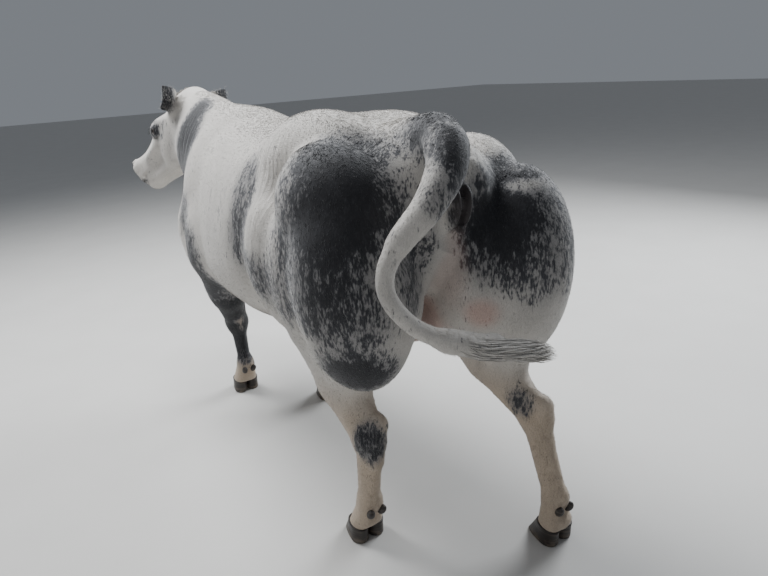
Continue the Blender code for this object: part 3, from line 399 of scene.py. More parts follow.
def shoulder(side):
    """Shoulder blade, upper arm and the bulging muscles over them."""
    s = side
    shapes = [
        Ellipsoid((s * 0.150, -0.560, 1.020), (0.100, 0.185, 0.225), (-14, s * -14, 0), 0.08),
        Ellipsoid((s * 0.180, -0.680, 0.865), (0.088, 0.130, 0.165), (-24, s * -16, 0), 0.035),
        Ellipsoid((s * 0.212, -0.480, 0.842), (0.098, 0.155, 0.165), (28, s * -16, 0), 0.030),
        Ellipsoid((s * 0.150, -0.790, 0.830), (0.088, 0.085, 0.105), blend=0.04),
        Ellipsoid((s * 0.115, -0.800, 0.735), (0.110, 0.110, 0.130), blend=0.04),
        Ellipsoid((s * 0.185, -0.590, 0.735), (0.098, 0.170, 0.110), (12, 0, 0), 0.04),
    ]
    return Group(shapes, blend=0.045)


# The legs: forearm or thigh, joints, cannon and tendons, down to two toes that end at the coronet. The thighs
# carry the double muscling that gives the breed its rounded hams.


def foreleg(side, name):
    """Forearm, knee, cannon and fetlock, down to the two toes."""
    s = side
    x, y = FEET[name]
    elbow = (s * 0.205, -0.500, 0.725)
    knee = (x + s * 0.012, y * 0.86 + elbow[1] * 0.14, KNEE_HEIGHT)
    fetlock = fetlock_of(name)
    middle = mix(elbow, knee, 0.55)
    shapes = [
        Limb(elbow, middle, 0.104, 0.070, (0.92, 1.1, 1), 0.03),
        Limb(middle, knee, 0.070, 0.048, (1, 1.05, 1), 0.03),
        Ellipsoid(mix(elbow, knee, 0.30, (0, -0.030, 0)), (0.072, 0.072, 0.130), blend=0.03),
        Ellipsoid(mix(elbow, knee, 0.06, (0, 0.070, 0.015)), (0.045, 0.055, 0.070), blend=0.03),
        Ellipsoid(shifted(knee, (0, -0.006, 0)), (0.051, 0.049, 0.060), blend=0.02),
        Ellipsoid(shifted(knee, (0, 0.034, 0)), (0.030, 0.024, 0.040), blend=0.015),
        Limb(knee, fetlock, 0.039, 0.031, (0.95, 0.95, 1), 0.03),
        Limb(shifted(knee, (0, 0.028, -0.03)), shifted(fetlock, (0, 0.022, 0.03)), 0.016, 0.018, blend=0.016),
        Ellipsoid(shifted(fetlock, (0, 0.006, 0.002)), (0.042, 0.040, 0.044), blend=0.02),
    ]
    return Group(shapes + toes((x, y), fetlock), blend=0.04)


TOE_SPREAD = 0.029


def toes(foot, fetlock):
    """The pastern parts into two toes that end at the coronet."""
    x, y = foot
    found = [Ellipsoid((x, y + 0.022, 0.078), (0.042, 0.026, 0.030), blend=0.02)]
    for side in (-1, 1):
        top = shifted(fetlock, (side * 0.016, 0.002, -0.015))
        low = (x + side * TOE_SPREAD, y - 0.006, CORONET_HEIGHT - 0.012)
        found.append(Limb(top, low, 0.031, 0.033, (0.84, 1.15, 1), 0.012))
    return found


def hindquarter(side, name):
    """Rump, thigh, gaskin and cannon of one side, with the deep muscle bellies of a double-muscled cow."""
    s = side
    x, y = FEET[name]
    swing = y - HIND_STAND_Y
    pull = 0.45 * swing
    stifle = (s * 0.212, 0.275 + 0.28 * swing, 0.725)
    hock = (x + s * 0.004, y - 0.38 * swing, HOCK_HEIGHT)
    heel = shifted(hock, (s * -0.012, 0.046, 0.058))
    fetlock = fetlock_of(name)
    drop = 0.1 * max(swing, 0.0)
    rump = [
        Ellipsoid((s * 0.130, 0.330, 1.200 - drop), (0.130, 0.260, 0.128), (3, s * -6, 0), 0.05),
        Ellipsoid((s * 0.190, 0.240, 1.150), (0.080, 0.100, 0.085), blend=0.06),
        Ellipsoid(
            (s * 0.205, 0.545 + 0.2 * pull, 1.045 - drop), (0.162, 0.218, 0.220), (4, s * 17, 0), 0.035
        ),
        Ellipsoid((s * 0.085, 0.640 + 0.2 * pull, 1.110), (0.085, 0.130, 0.130), blend=0.06),
    ]
    thigh = [
        Limb((s * 0.225, 0.245, 1.100), shifted(stifle, (0, 0.030, 0.100)), 0.070, 0.085, blend=0.05),
        Ellipsoid((s * 0.255, 0.300 + 0.4 * pull, 0.880), (0.120, 0.160, 0.220), (0, s * 6, 0), 0.04),
        Ellipsoid((s * 0.248, 0.470 + 0.6 * pull, 0.850), (0.124, 0.185, 0.250), (-6, s * 8, 0), 0.025),
        Ellipsoid((s * 0.232, 0.662 + 0.8 * pull, 0.862), (0.168, 0.180, 0.298), (0, s * 6, 0), 0.025),
        Ellipsoid((s * 0.110, 0.620 + 0.7 * pull, 0.860), (0.105, 0.145, 0.240), blend=0.035),
        Ellipsoid((s * 0.150, 0.440 + 0.6 * pull, 0.760), (0.120, 0.200, 0.185), blend=0.035),
        Ellipsoid(shifted(stifle, (0, 0.03, 0.02)), (0.085, 0.095, 0.110), blend=0.04),
    ]
    calf = mix(stifle, hock, 0.58, (0, 0.020, 0))
    gaskin = [
        Limb(mix(stifle, hock, 0.12, (0, 0.110, 0)), calf, 0.118, 0.080, (0.85, 1, 1), 0.04),
        Limb(calf, hock, 0.078, 0.046, (0.9, 1, 1), 0.03),
        Limb(mix(stifle, hock, 0.05, (0, 0.02, 0)), hock, 0.072, 0.044, (0.95, 1, 1), 0.03),
        Limb(
            (s * 0.110 + 0.5 * x, 0.60 + 1.1 * pull, 0.660), mix(calf, heel, 0.45), 0.110, 0.042, blend=0.04
        ),
        Limb(mix(calf, heel, 0.30), heel, 0.032, 0.023, blend=0.025),
    ]
    lower = [
        Ellipsoid(heel, (0.024, 0.028, 0.030), blend=0.018),
        Ellipsoid(shifted(hock, (0, 0.006, 0.010)), (0.044, 0.060, 0.058), blend=0.022),
        Limb(shifted(heel, (0, -0.004, -0.01)), shifted(hock, (0, 0.036, -0.070)), 0.023, 0.022, blend=0.02),
        Limb(shifted(hock, (0, 0.004, -0.02)), fetlock, 0.043, 0.036, (0.95, 1.02, 1), 0.03),
        Limb(shifted(hock, (0, 0.040, -0.05)), shifted(fetlock, (0, 0.024, 0.03)), 0.018, 0.018, blend=0.018),
        Ellipsoid(shifted(fetlock, (0, 0.006, 0.002)), (0.043, 0.042, 0.045), blend=0.02),
    ]
    leg = Group(thigh + gaskin + lower + toes((x, y), fetlock), blend=0.020)
    return Group(rump + [leg], blend=0.04)


# The head and neck: a long skull with brow, jaw, muzzle and nostrils, carried low and turned a little left,
# and two cupped ears that stand up and out.


def head_frame():
    """Head coordinates: x left, y back along the face from muzzle to poll, z out of the forehead."""
    turn = Euler([math.radians(a) for a in (HEAD_DOWN, HEAD_ROLL, HEAD_LEFT)])
    return Matrix.Translation(Vector(POLL)) @ turn.to_matrix().to_4x4() @ Matrix.Scale(HEAD_SIZE, 4)


def neck(frame):
    """Neck from the shoulders to the back of the skull, with its crest, throat and dewlap."""
    root = (0, -0.600, 0.990)
    nape = tuple(frame @ Vector((0, -0.030, -0.125)))
    throat = tuple(frame @ Vector((0, -0.120, -0.235)))
    crest = tuple(frame @ Vector((0, 0.045, -0.050)))
    under = tuple(frame @ Vector((0, -0.070, -0.228)))
    shapes = [
        Limb(root, mix(root, nape, 0.55), 0.265, 0.205, (0.80, 1, 1), 0.05),
        Limb(mix(root, nape, 0.5), nape, 0.208, 0.135, (0.78, 1, 1), 0.05),
        Limb((0, -0.520, 1.215), crest, 0.080, 0.062, (1.1, 1, 1), 0.06),
        Limb((0, -0.800, 0.820), throat, 0.130, 0.075, (0.72, 1, 1), 0.06),
        Limb((0, -0.830, 0.760), mix((0, -0.800, 0.800), throat, 0.62), 0.080, 0.060, (0.75, 1, 1), 0.08),
        Ellipsoid(under, (0.080, 0.130, 0.062), (HEAD_DOWN, 0, HEAD_LEFT), 0.05),
    ]
    return Group(shapes, blend=0.05)


EYE_PLACE = (0.098, -0.176, -0.058)
EYE_RADIUS = 0.0200
LID = 0.0050


def eye_side(along, rise, out):
    """A place by the left eye: along towards the ear, up, and out of the ball's middle, a little forward."""
    x, y, z = EYE_PLACE
    return (x + 0.951 * out + 0.309 * along, y - 0.309 * out + 0.951 * along, z + rise)


def skull():
    """The head in its own frame, from the muzzle at y = -0.49 to the poll at 0."""
    stations = (
        (-0.500, -0.052, -0.142, 0.048, -0.098),
        (-0.480, -0.034, -0.166, 0.070, -0.100),
        (-0.440, -0.022, -0.178, 0.076, -0.100),
        (-0.380, -0.022, -0.176, 0.068, -0.096),
        (-0.300, -0.014, -0.192, 0.072, -0.090),
        (-0.220, -0.004, -0.226, 0.090, -0.084),
        (-0.150, 0.000, -0.242, 0.106, -0.086),
        (-0.070, -0.004, -0.230, 0.106, -0.088),
        (-0.010, -0.012, -0.185, 0.084, -0.080),
        (0.040, -0.045, -0.125, 0.050, -0.080),
    )
    cranium = [
        Loft(stations, square=2.5, blend=0.02),
        Ellipsoid((0, -0.015, -0.030), (0.075, 0.055, 0.045), blend=0.03),
    ]
    cheeks = [
        Ellipsoid((0.080, -0.166, -0.044), (0.034, 0.060, 0.036), (0, 20, 8), 0.030),
        Ellipsoid((0.072, -0.125, -0.165), (0.042, 0.105, 0.090), (18, 0, 0), 0.03),
        Limb((0.060, -0.090, -0.228), (0.032, -0.400, -0.172), 0.034, 0.024, blend=0.03),
        Limb((0.082, -0.215, -0.100), (0.056, -0.350, -0.088), 0.026, 0.022, blend=0.03),
        Ellipsoid((0.044, -0.462, -0.068), (0.036, 0.044, 0.040), blend=0.02),
    ]
    muzzle = [
        Ellipsoid((0, -0.476, -0.090), (0.060, 0.034, 0.048), blend=0.02),
        Ellipsoid((0, -0.436, -0.166), (0.052, 0.052, 0.030), (12, 0, 0), 0.020),
    ]
    details = [
        Limb((0.034, -0.492, -0.036), (0.058, -0.462, -0.034), 0.013, 0.011, blend=0.012),
        ear_root(),
        Ellipsoid(EYE_PLACE, (EYE_RADIUS + LID,) * 3, blend=0.010),
        Limb(eye_side(-0.030, 0.014, 0.000), eye_side(-0.004, 0.023, 0.006), 0.0060, 0.0070, blend=0.008),
        Limb(eye_side(-0.004, 0.023, 0.006), eye_side(0.028, 0.012, -0.002), 0.0070, 0.0055, blend=0.008),
        Limb(eye_side(-0.028, -0.012, 0.002), eye_side(0.002, -0.019, 0.007), 0.0050, 0.0055, blend=0.006),
        Limb(eye_side(0.002, -0.019, 0.007), eye_side(0.027, -0.008, 0.000), 0.0055, 0.0045, blend=0.006),
        Limb((0.036, -0.500, -0.040), (0.066, -0.474, -0.036), 0.011, 0.009, blend=0.010),
        Limb((0.074, -0.478, -0.052), (0.072, -0.476, -0.088), 0.008, 0.007, blend=0.010),
    ]
    openings = [
        Ellipsoid((0.055, -0.502, -0.064), (0.0115, 0.022, 0.0185), (0, -25, -38), 0.008),
        Ellipsoid((0.068, -0.490, -0.052), (0.006, 0.016, 0.007), (0, -35, -45), 0.006),
        Ellipsoid(eye_side(0.0, 0.0, 0.031), (0.016, 0.0240, 0.0150), (10, 0, -18), 0.004),
        Limb(eye_side(-0.034, -0.024, -0.004), eye_side(0.020, -0.034, -0.002), 0.0030, 0.0025, blend=0.006),
        Limb(eye_side(-0.030, 0.026, 0.000), eye_side(0.024, 0.030, 0.000), 0.0030, 0.0025, blend=0.006),
        Limb((0.046, -0.504, -0.141), (0.081, -0.385, -0.132), 0.0080, 0.0055, blend=0.006),
    ]
    mouth = Limb((-0.046, -0.508, -0.143), (0.046, -0.508, -0.143), 0.0080, 0.0080, blend=0.006)
    shapes = cranium + pairs(cheeks) + muzzle + pairs(details)
    return Group(shapes, cuts=pairs(openings) + [mouth])


EAR_ROOT = (0.082, -0.022, -0.066)
EAR_TIP = (0.168, 0.060, 0.010)
EAR_OPENS = (0.05, -0.78, 0.60)
EAR_WIDTH = 0.114
EAR_WALL = 0.0040
EAR_START = 0.030
EAR_BACK = 0.020


class Leaf(Shape):
    """A cupped leaf in its own frame: y from root to tip, x across, z out of the cup."""

    def __init__(self, frame, length, width, wall, blend):
        self.origin = np.array(frame.translation)
        self.axes = np.array(frame.to_3x3())
        self.length = length
        self.width = width
        self.wall = wall
        self.blend = blend
        tip = self.origin + self.axes[:, 1] * length
        self.low = np.minimum(self.origin, tip) - width
        self.high = np.maximum(self.origin, tip) + width

    def half_width(self, share):
        spread = 0.45 + 0.55 * np.sin(0.5 * math.pi * np.minimum(share / 0.42, 1.0))
        return 0.5 * self.width * spread * (1.0 - share**1.8) ** 0.85

    def middle(self, x, share):
        """Height of the leaf: a deep cup at the root that opens towards the tip, with the tip bent back."""
        curl = 13.0 * (1.0 - share) ** 1.5 + 3.0
        return curl * x**2 - 0.030 * np.sin(math.pi * share) - 0.020 * share**3

    def distance(self, points):
        local = (points - self.origin) @ self.axes
        share = np.clip(local[:, 1] / self.length, 0.0, 1.0)
        half = self.half_width(share)
        x = np.clip(local[:, 0], -half, half)
        lean = 1.0 / np.sqrt(1.0 + (26.0 * (1.0 - share) ** 1.5 + 6.0) ** 2 * x**2)
        through = (local[:, 2] - self.middle(x, share)) * lean
        beyond = np.maximum(np.abs(local[:, 0]) - half, 0.0)
        past = np.abs(local[:, 1] - share * self.length)
        wall = self.wall * (1.0 - 0.45 * share)
        return np.sqrt(through**2 + beyond**2 + past**2) - wall

    def lump(self, clay):
        for share in np.linspace(0.0, 0.98, 60):
            half = float(self.half_width(share))
            for side in np.linspace(-1.0, 1.0, max(3, math.ceil(2 * half / 0.003))):
                x = side * half
                z = self.middle(x, share)
                centre = self.origin + self.axes @ (x, share * self.length, z)
                clay.add_ball(centre, np.eye(3) * self.wall * 0.9)


def ear_frame(side):
    """The ear's own frame: root at the skull, y to the tip, z out of the cup."""
    root = Vector((side * EAR_ROOT[0], *EAR_ROOT[1:]))
    run = (Vector((side * EAR_TIP[0], *EAR_TIP[1:])) - root).normalized()
    opens = Vector((side * EAR_OPENS[0], *EAR_OPENS[1:]))
    opens = (opens - opens.dot(run) * run).normalized()
    across = run.cross(opens)
    turn = Matrix((across, run, opens)).transposed()
    return Matrix.Translation(root) @ turn.to_4x4()


def ear_root():
    """The thick base that the ear cup grows from, shared by the skull and the ear."""
    place = ear_frame(1)
    length = (Vector(EAR_TIP) - Vector(EAR_ROOT)).length
    out = place @ Vector((0, 0.48 * length, -EAR_BACK))
    return Limb(EAR_ROOT, tuple(out), 0.034, 0.017, blend=0.02)


def ear(frame, side):
    """One ear, in world coordinates."""
    length = (Vector(EAR_TIP) - Vector(EAR_ROOT)).length
    root = ear_root()
    if side < 0:
        end = root.start + root.run
        root = Limb(root.start * (-1, 1, 1), end * (-1, 1, 1), root.radius, root.end_radius)
    place = ear_frame(side) @ Matrix.Translation((0, EAR_START, 0))
    leaf = Leaf(place, length - EAR_START, EAR_WIDTH, EAR_WALL, 0.012)
    return Placed(frame, Group([root, leaf]), 0.02)


# The tail: a thick dock that swings out to the left and back to the right, drawn here in steps so short that
# no joint shows in its line.
TAIL_STEPS = 5
TAIL_PATH = (
    (0.000, 0.600, 1.235),
    (0.005, 0.680, 1.255),
    (0.025, 0.745, 1.258),
    (0.058, 0.808, 1.238),
    (0.103, 0.852, 1.188),
    (0.173, 0.868, 1.118),
    (0.245, 0.850, 1.045),
    (0.285, 0.845, 0.980),
    (0.285, 0.855, 0.915),
    (0.240, 0.885, 0.845),
    (0.170, 0.925, 0.800),
    (0.095, 0.955, 0.768),
)
TAIL_RADII = (0.062, 0.060, 0.057, 0.054, 0.046, 0.036, 0.029, 0.025, 0.024, 0.024, 0.026, 0.026)
SWITCH_TIP = (-0.150, 0.985, 0.695)
SWITCH_RADIUS = 0.036


def tail_line(shares):
    """Places on the tail's line and its radius there; share 1 is the path's second point."""
    knots = np.arange(len(TAIL_PATH), dtype=float)
    line = np.array(TAIL_PATH)
    places = np.column_stack([smooth_curve(shares, knots, line[:, k]) for k in range(3)])
    return places, smooth_curve(shares, knots, np.array(TAIL_RADII))


def tail_lengths(first, last, blend):
    places, radii = tail_line(np.linspace(first, last, TAIL_STEPS * (last - first) + 1))
    lengths = []
    for k in range(len(places) - 1):
        lengths.append(Limb(places[k], places[k + 1], radii[k], radii[k + 1], blend=0.003))
    return Group(lengths, blend=blend)


def switch():
    """The core of the brush at the end of the tail, which its locks grow from."""
    start = TAIL_PATH[-2]
    belly = mix(start, SWITCH_TIP, 0.40)
    end = mix(start, SWITCH_TIP, 0.62)
    return [
        Limb(start, belly, 0.026, 0.75 * SWITCH_RADIUS, (1, 0.75, 1), 0.03),
        Limb(belly, end, 0.75 * SWITCH_RADIUS, 0.012, (1, 0.75, 1), 0.03),
    ]


def vulva():
    """Two wrinkled lips with a slit between them, under the ring of the anus."""
    lip = Ellipsoid((0.019, PIN_BONE_Y + 0.018, 1.078), (0.019, 0.034, 0.062), (-14, 0, 0), 0.006)
    shapes = [
        Ellipsoid((0, PIN_BONE_Y - 0.020, 1.170), (0.045, 0.040, 0.050), blend=0.02),
        Ellipsoid((0, PIN_BONE_Y - 0.004, 1.085), (0.036, 0.034, 0.066), (-14, 0, 0), 0.02),
        Mirrored(lip),
        Ellipsoid((0, PIN_BONE_Y + 0.030, 1.022), (0.014, 0.018, 0.018), (-30, 0, 0), 0.010),
    ]
    cuts = [
        Ellipsoid((0, PIN_BONE_Y + 0.056, 1.080), (0.004, 0.026, 0.048), (-14, 0, 0), 0.006),
        Ellipsoid((0, PIN_BONE_Y + 0.026, 1.166), (0.014, 0.016, 0.010), (0, 0, 0), 0.010),
    ]
    return Group(shapes, blend=0.03, cuts=cuts)


def whole_animal(frame):
    left = hindquarter(1, "hind_left")
    right = hindquarter(-1, "hind_right")
    right.blend = 0.020
    return Group(
        [
            trunk(),
            shoulder(1),
            shoulder(-1),
            Group([left, right], blend=0.05),
            neck(frame),
            Placed(frame, skull(), 0.035),
            foreleg(1, "fore_left"),
            foreleg(-1, "fore_right"),
            vulva(),
            tail_lengths(0, 6, 0.05),
        ]
    )


# The skin: one sheet of hide over the whole body, fine on the head and coarser on the barrel, with the lids,
# nostrils and toes drawn into it. It replaces every node of flesh and lies inside them by the coat's depth.
COAT_DEPTH = 0.003
BODY_GRAIN = 0.0075
HEAD_GRAIN = 0.0029
EAR_GRAIN = 0.0024
BODY_TRIANGLES = 112000
HEAD_TRIANGLES = 62000
EAR_TRIANGLES = 5000


def slope(shape, points, depth, step=0.0008):
    """The field's gradient by small steps along each axis."""
    found = np.empty_like(points)
    for axis in range(3):
        moved = points.copy()
        moved[:, axis] += step
        found[:, axis] = (shape.distance(moved) - depth) / step
    return found


def draw_onto(shape, points, rounds=3, most=0.03):
    """Moves points along the gradient onto the surface where the field is zero."""
    for _ in range(rounds):
        depth = shape.distance(points)
        steep = slope(shape, points, depth)
        strength = np.maximum(dot(steep, steep), 0.25)
        points = points - (np.clip(depth, -most, most) / strength)[:, None] * steep
    return points


def apply_modifiers(obj):
    """Replaces the object's mesh by its evaluated one."""
    graph = bpy.context.evaluated_depsgraph_get()
    made = bpy.data.meshes.new_from_object(obj.evaluated_get(graph))
    obj.modifiers.clear()
    old = obj.data
    obj.data = made
    bpy.data.meshes.remove(old)


def positions(mesh):
    found = np.empty(len(mesh.vertices) * 3)
    mesh.vertices.foreach_get("co", found)
    return found.reshape(-1, 3)


def new_object(name, mesh):
    obj = bpy.data.objects.new(name, mesh)
    bpy.context.scene.collection.objects.link(obj)
    return obj


def relaxed(mesh, points):
    """Each point moved half way to the middle of its neighbours, which keeps a drawn skin from folding."""
    ends = np.empty(2 * len(mesh.edges), np.int64)
    mesh.edges.foreach_get("vertices", ends)
    first, second = ends.reshape(-1, 2).T
    total = np.zeros_like(points)
    for axis in range(3):
        total[:, axis] = np.bincount(first, points[second, axis], len(points))
        total[:, axis] += np.bincount(second, points[first, axis], len(points))
    count = np.bincount(first, minlength=len(points)) + np.bincount(second, minlength=len(points))
    return 0.5 * points + 0.5 * total / np.maximum(count, 1)[:, None]


def degrees(*angles):
    return Euler([math.radians(a) for a in angles])


class Deeper(Shape):
    """A form drawn in from its surface by an even depth."""

    def __init__(self, shape, depth):
        self.shape = shape
        self.depth = depth

    def distance(self, points):
        return self.shape.distance(points) + self.depth


def grow_skin(lumps, form, grain, triangles, rounds=0):
    """Skins the lumps in voxels, thins the mesh where it is flat and draws it onto the form.

    Rounds of short steps with the skin relaxed between them carry it into narrow openings without a fold.
    """
    clay = Clay()
    lumps.lump(clay)
    obj = new_object("skin", clay.mesh("skin"))
    remesh = obj.modifiers.new("skin", "REMESH")
    remesh.mode = "VOXEL"
    remesh.voxel_size = grain
    apply_modifiers(obj)
    for _ in range(rounds):
        points = relaxed(obj.data, draw_onto(form, positions(obj.data), 1, 0.003))
        obj.data.vertices.foreach_set("co", points.ravel())
    settle(obj, form, 1 if rounds else 2)
    faces = 2 * len(obj.data.polygons)
    if faces > triangles:
        thin = obj.modifiers.new("thin", "DECIMATE")
        thin.ratio = triangles / faces
        apply_modifiers(obj)
        settle(obj, form, 1)
    return obj


def settle(obj, form, rounds):
    points = draw_onto(form, positions(obj.data), rounds)
    obj.data.vertices.foreach_set("co", points.ravel())
    obj.data.update()


def keep_side(obj, point, normal):
    """Cuts the mesh by a plane and keeps what lies against the normal, with its rim open."""
    work = bmesh.new()
    work.from_mesh(obj.data)
    everything = work.verts[:] + work.edges[:] + work.faces[:]
    bmesh.ops.bisect_plane(work, geom=everything, plane_co=point, plane_no=normal, clear_outer=True)
    work.to_mesh(obj.data)
    work.free()


def join(objects, name):
    """Joins objects into the first one."""
    bpy.ops.object.select_all(action="DESELECT")
    for obj in objects:
        obj.select_set(True)
    bpy.context.view_layer.objects.active = objects[0]
    bpy.ops.object.join()
    objects[0].name = name
    objects[0].data.name = name
    return objects[0]


skull_place = head_frame()
animal = whole_animal(skull_place)
tail = Group(tail_lengths(3, len(TAIL_PATH) - 1, 0.02).shapes + switch(), blend=0.02)
whole = Group([animal, tail])
body_form = Deeper(whole, COAT_DEPTH)
body_skin = grow_skin(whole, body_form, BODY_GRAIN, BODY_TRIANGLES)

# The head's finer skin meets the body's on one plane through the neck, where their rims are bridged.
neck_place = skull_place @ Vector((0, 0.110, -0.150))
neck_turn = degrees(HEAD_DOWN + 27, HEAD_ROLL, HEAD_LEFT).to_matrix()
neck_along = neck_turn @ Vector((0, 0, 1))
head_lumps = Group([neck(skull_place), Placed(skull_place, skull(), 0.035)])
head_skin = grow_skin(head_lumps, body_form, HEAD_GRAIN, HEAD_TRIANGLES, rounds=10)
keep_side(body_skin, neck_place - 0.004 * neck_along, neck_along)
keep_side(head_skin, neck_place + 0.004 * neck_along, -neck_along)
skin = join([body_skin, head_skin], "skin")
bpy.ops.object.mode_set(mode="EDIT")
bpy.ops.mesh.select_mode(type="EDGE")
bpy.ops.mesh.select_all(action="DESELECT")
bpy.ops.mesh.select_non_manifold(extend=False, use_wire=False, use_multi_face=False, use_verts=False)
bpy.ops.mesh.bridge_edge_loops()
bpy.ops.mesh.select_all(action="SELECT")
bpy.ops.mesh.quads_convert_to_tris()
bpy.ops.object.mode_set(mode="OBJECT")

ears = []
for side in (1, -1):
    form = ear(skull_place, side)
    ears.append(grow_skin(form, Deeper(form, 0.0006), EAR_GRAIN, EAR_TRIANGLES))
skin = join([skin] + ears, "skin")
skin.data.polygons.foreach_set("use_smooth", [True] * len(skin.data.polygons))

# The animal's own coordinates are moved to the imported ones, which have their origin under the middle.
eye_low, eye_high = (Vector(corner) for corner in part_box("eye_left"))
home = (eye_low + eye_high) / 2 - skull_place @ Vector(EYE_PLACE)

# The markings: a white coat with patches of blue roan that break up into blotches and flecks. Each patch is
# a soft ellipsoid of dark hair in the animal's own coordinates: middle, half sizes, share of dark hair. The
# patch high on the left rump, where it turns down from the top, is dark hair and painted shade together.
DARK_PATCHES = (
    ((0.290, 0.690, 1.110), (0.130, 0.130, 0.130), 0.90),
    ((0.300, 0.640, 1.120), (0.190, 0.190, 0.190), 0.62),
    ((0.350, 0.640, 0.960), (0.150, 0.190, 0.150), 0.66),
    ((0.330, 0.720, 0.840), (0.160, 0.150, 0.140), 0.66),
    ((0.300, 0.700, 0.660), (0.140, 0.130, 0.085), 0.98),
    ((0.240, 0.600, 1.215), (0.130, 0.130, 0.060), 0.50),
    ((0.330, 0.440, 0.920), (0.120, 0.140, 0.260), 0.34),
    # Dark hair and painted shade: the side of the left rump is darkened where it turns down below its lit
    # top.
    ((0.220, 0.600, 1.250), (0.140, 0.120, 0.070), 0.62),
    ((0.030, 0.740, 1.270), (0.090, 0.120, 0.080), 0.92),
    ((0.070, 0.860, 1.215), (0.085, 0.095, 0.095), 0.92),
    ((0.150, 0.890, 1.130), (0.060, 0.060, 0.060), 0.60),
    ((0.130, 0.740, 0.960), (0.090, 0.120, 0.190), 0.62),
    ((-0.120, 0.820, 1.050), (0.120, 0.140, 0.140), 0.92),
    ((-0.080, 0.800, 0.950), (0.080, 0.110, 0.120), 0.66),
    ((-0.240, 0.760, 1.150), (0.120, 0.110, 0.060), 0.76),
    ((-0.270, 0.870, 0.990), (0.130, 0.150, 0.210), 0.62),
    ((-0.150, 0.900, 0.870), (0.090, 0.070, 0.090), 0.42),
    ((-0.340, 0.640, 0.920), (0.120, 0.190, 0.230), 0.70),
    ((-0.300, 0.520, 1.120), (0.120, 0.150, 0.130), 0.52),
    ((0.290, 0.105, 1.080), (0.120, 0.080, 0.170), 0.62),
    ((0.340, 0.125, 0.930), (0.100, 0.100, 0.110), 0.55),
    ((0.370, 0.250, 0.870), (0.100, 0.110, 0.080), 0.44),
    ((0.360, 0.360, 0.840), (0.100, 0.180, 0.090), 0.38),
    ((0.330, -0.100, 1.000), (0.150, 0.260, 0.240), 0.20),
    ((-0.300, 0.020, 1.050), (0.120, 0.090, 0.170), 0.76),
    ((-0.340, 0.170, 0.880), (0.110, 0.160, 0.120), 0.46),
    ((-0.330, -0.180, 0.800), (0.110, 0.130, 0.120), 0.36),
    ((0.165, -0.770, 1.180), (0.120, 0.130, 0.180), 1.00),
    ((0.150, -0.760, 1.060), (0.100, 0.100, 0.130), 0.96),
    ((0.080, -0.780, 1.300), (0.090, 0.100, 0.060), 0.95),
    ((-0.160, -0.780, 1.180), (0.100, 0.130, 0.150), 0.76),
    ((0.240, -0.620, 0.900), (0.110, 0.100, 0.110), 0.66),
    ((0.260, -0.500, 0.780), (0.110, 0.110, 0.120), 0.90),
    ((0.220, -0.520, 0.660), (0.110, 0.120, 0.130), 0.97),
    ((0.150, -0.580, 0.520), (0.100, 0.115, 0.180), 1.00),
    ((0.100, -0.650, 0.320), (0.095, 0.085, 0.220), 1.00),
    ((-0.250, -0.480, 0.760), (0.120, 0.160, 0.140), 0.62),
    ((-0.200, -0.420, 0.450), (0.085, 0.085, 0.150), 0.56),
    ((0.000, -0.880, 0.700), (0.130, 0.130, 0.130), 0.48),
    ((0.235, 0.640, 0.400), (0.060, 0.060, 0.080), 0.84),
    ((-0.195, 0.820, 0.450), (0.045, 0.055, 0.050), 0.62),
    ((-0.250, 0.620, 0.640), (0.090, 0.130, 0.090), 0.52),
)
LIGHT_PATCHES = (
    ((-0.130, 0.840, 1.112), (0.130, 0.060, 0.018), 0.55),
    ((0.105, -0.590, 0.250), (0.038, 0.020, 0.160), 0.70),
    ((0.080, -0.680, 0.100), (0.090, 0.090, 0.070), 0.85),
)
PINK_PATCHES = (
    ((-0.054, 0.810, 0.775), (0.040, 0.060, 0.045), 0.60),
    ((0.000, 0.740, 0.900), (0.030, 0.090, 0.150), 0.25),
    ((0.000, 0.480, 0.700), (0.150, 0.180, 0.120), 0.75),
)
FOLD_PATCHES = (
    ((0.160, 0.180, 1.180), (0.240, 0.200, 0.200), 1.00),
    ((-0.160, 0.180, 1.180), (0.240, 0.200, 0.200), 1.00),
    ((0.340, 0.240, 0.900), (0.120, 0.160, 0.220), 0.55),
    ((-0.340, 0.240, 0.900), (0.120, 0.160, 0.220), 0.55),
    ((0.200, -0.740, 1.080), (0.220, 0.200, 0.220), 0.80),
    ((-0.200, -0.740, 1.080), (0.220, 0.200, 0.220), 0.80),
    ((0.300, -0.280, 0.960), (0.120, 0.100, 0.260), 0.45),
)
# The same in head coordinates: the dark backs of the ears, the rings round the eyes and the grey muzzle.
HEAD_DARK = (
    ((0.110, -0.180, -0.056), (0.030, 0.036, 0.026), 0.95),
    ((0.090, -0.150, -0.060), (0.060, 0.070, 0.060), 0.40),
    ((0.100, -0.060, -0.150), (0.060, 0.090, 0.080), 0.30),
    ((0.060, -0.330, -0.110), (0.040, 0.080, 0.040), 0.20),
    ((0.044, -0.470, -0.150), (0.040, 0.040, 0.022), 0.60),
    ((0.056, -0.496, -0.064), (0.014, 0.018, 0.018), 1.00),
)
EAR_DARK = ((0.135, 0.022, -0.015), (0.080, 0.085, 0.090), 1.0)
MUZZLE = ((0.0, -0.505, -0.085), (0.062, 0.040, 0.062), 1.0)


def covered(points, patches):
    """The share of each point that the soft patches cover together."""
    bare = np.ones(len(points))
    for middle, sizes, share in patches:
        reach = length_of((points - np.array(middle)) / np.array(sizes))
        bare *= 1.0 - share * smooth(1.45, 0.45, reach)
    return 1.0 - bare


def smooth(start, end, value):
    """Rises from 0 at start to 1 at end."""
    share = np.clip((value - start) / (end - start), 0.0, 1.0)
    return share * share * (3.0 - 2.0 * share)


skull_back = np.array(skull_place.inverted())


def in_head(points):
    """Points in head coordinates, mirrored to the left side."""
    local = points @ skull_back[:3, :3].T + skull_back[:3, 3]
    local[:, 0] = np.abs(local[:, 0])
    return local


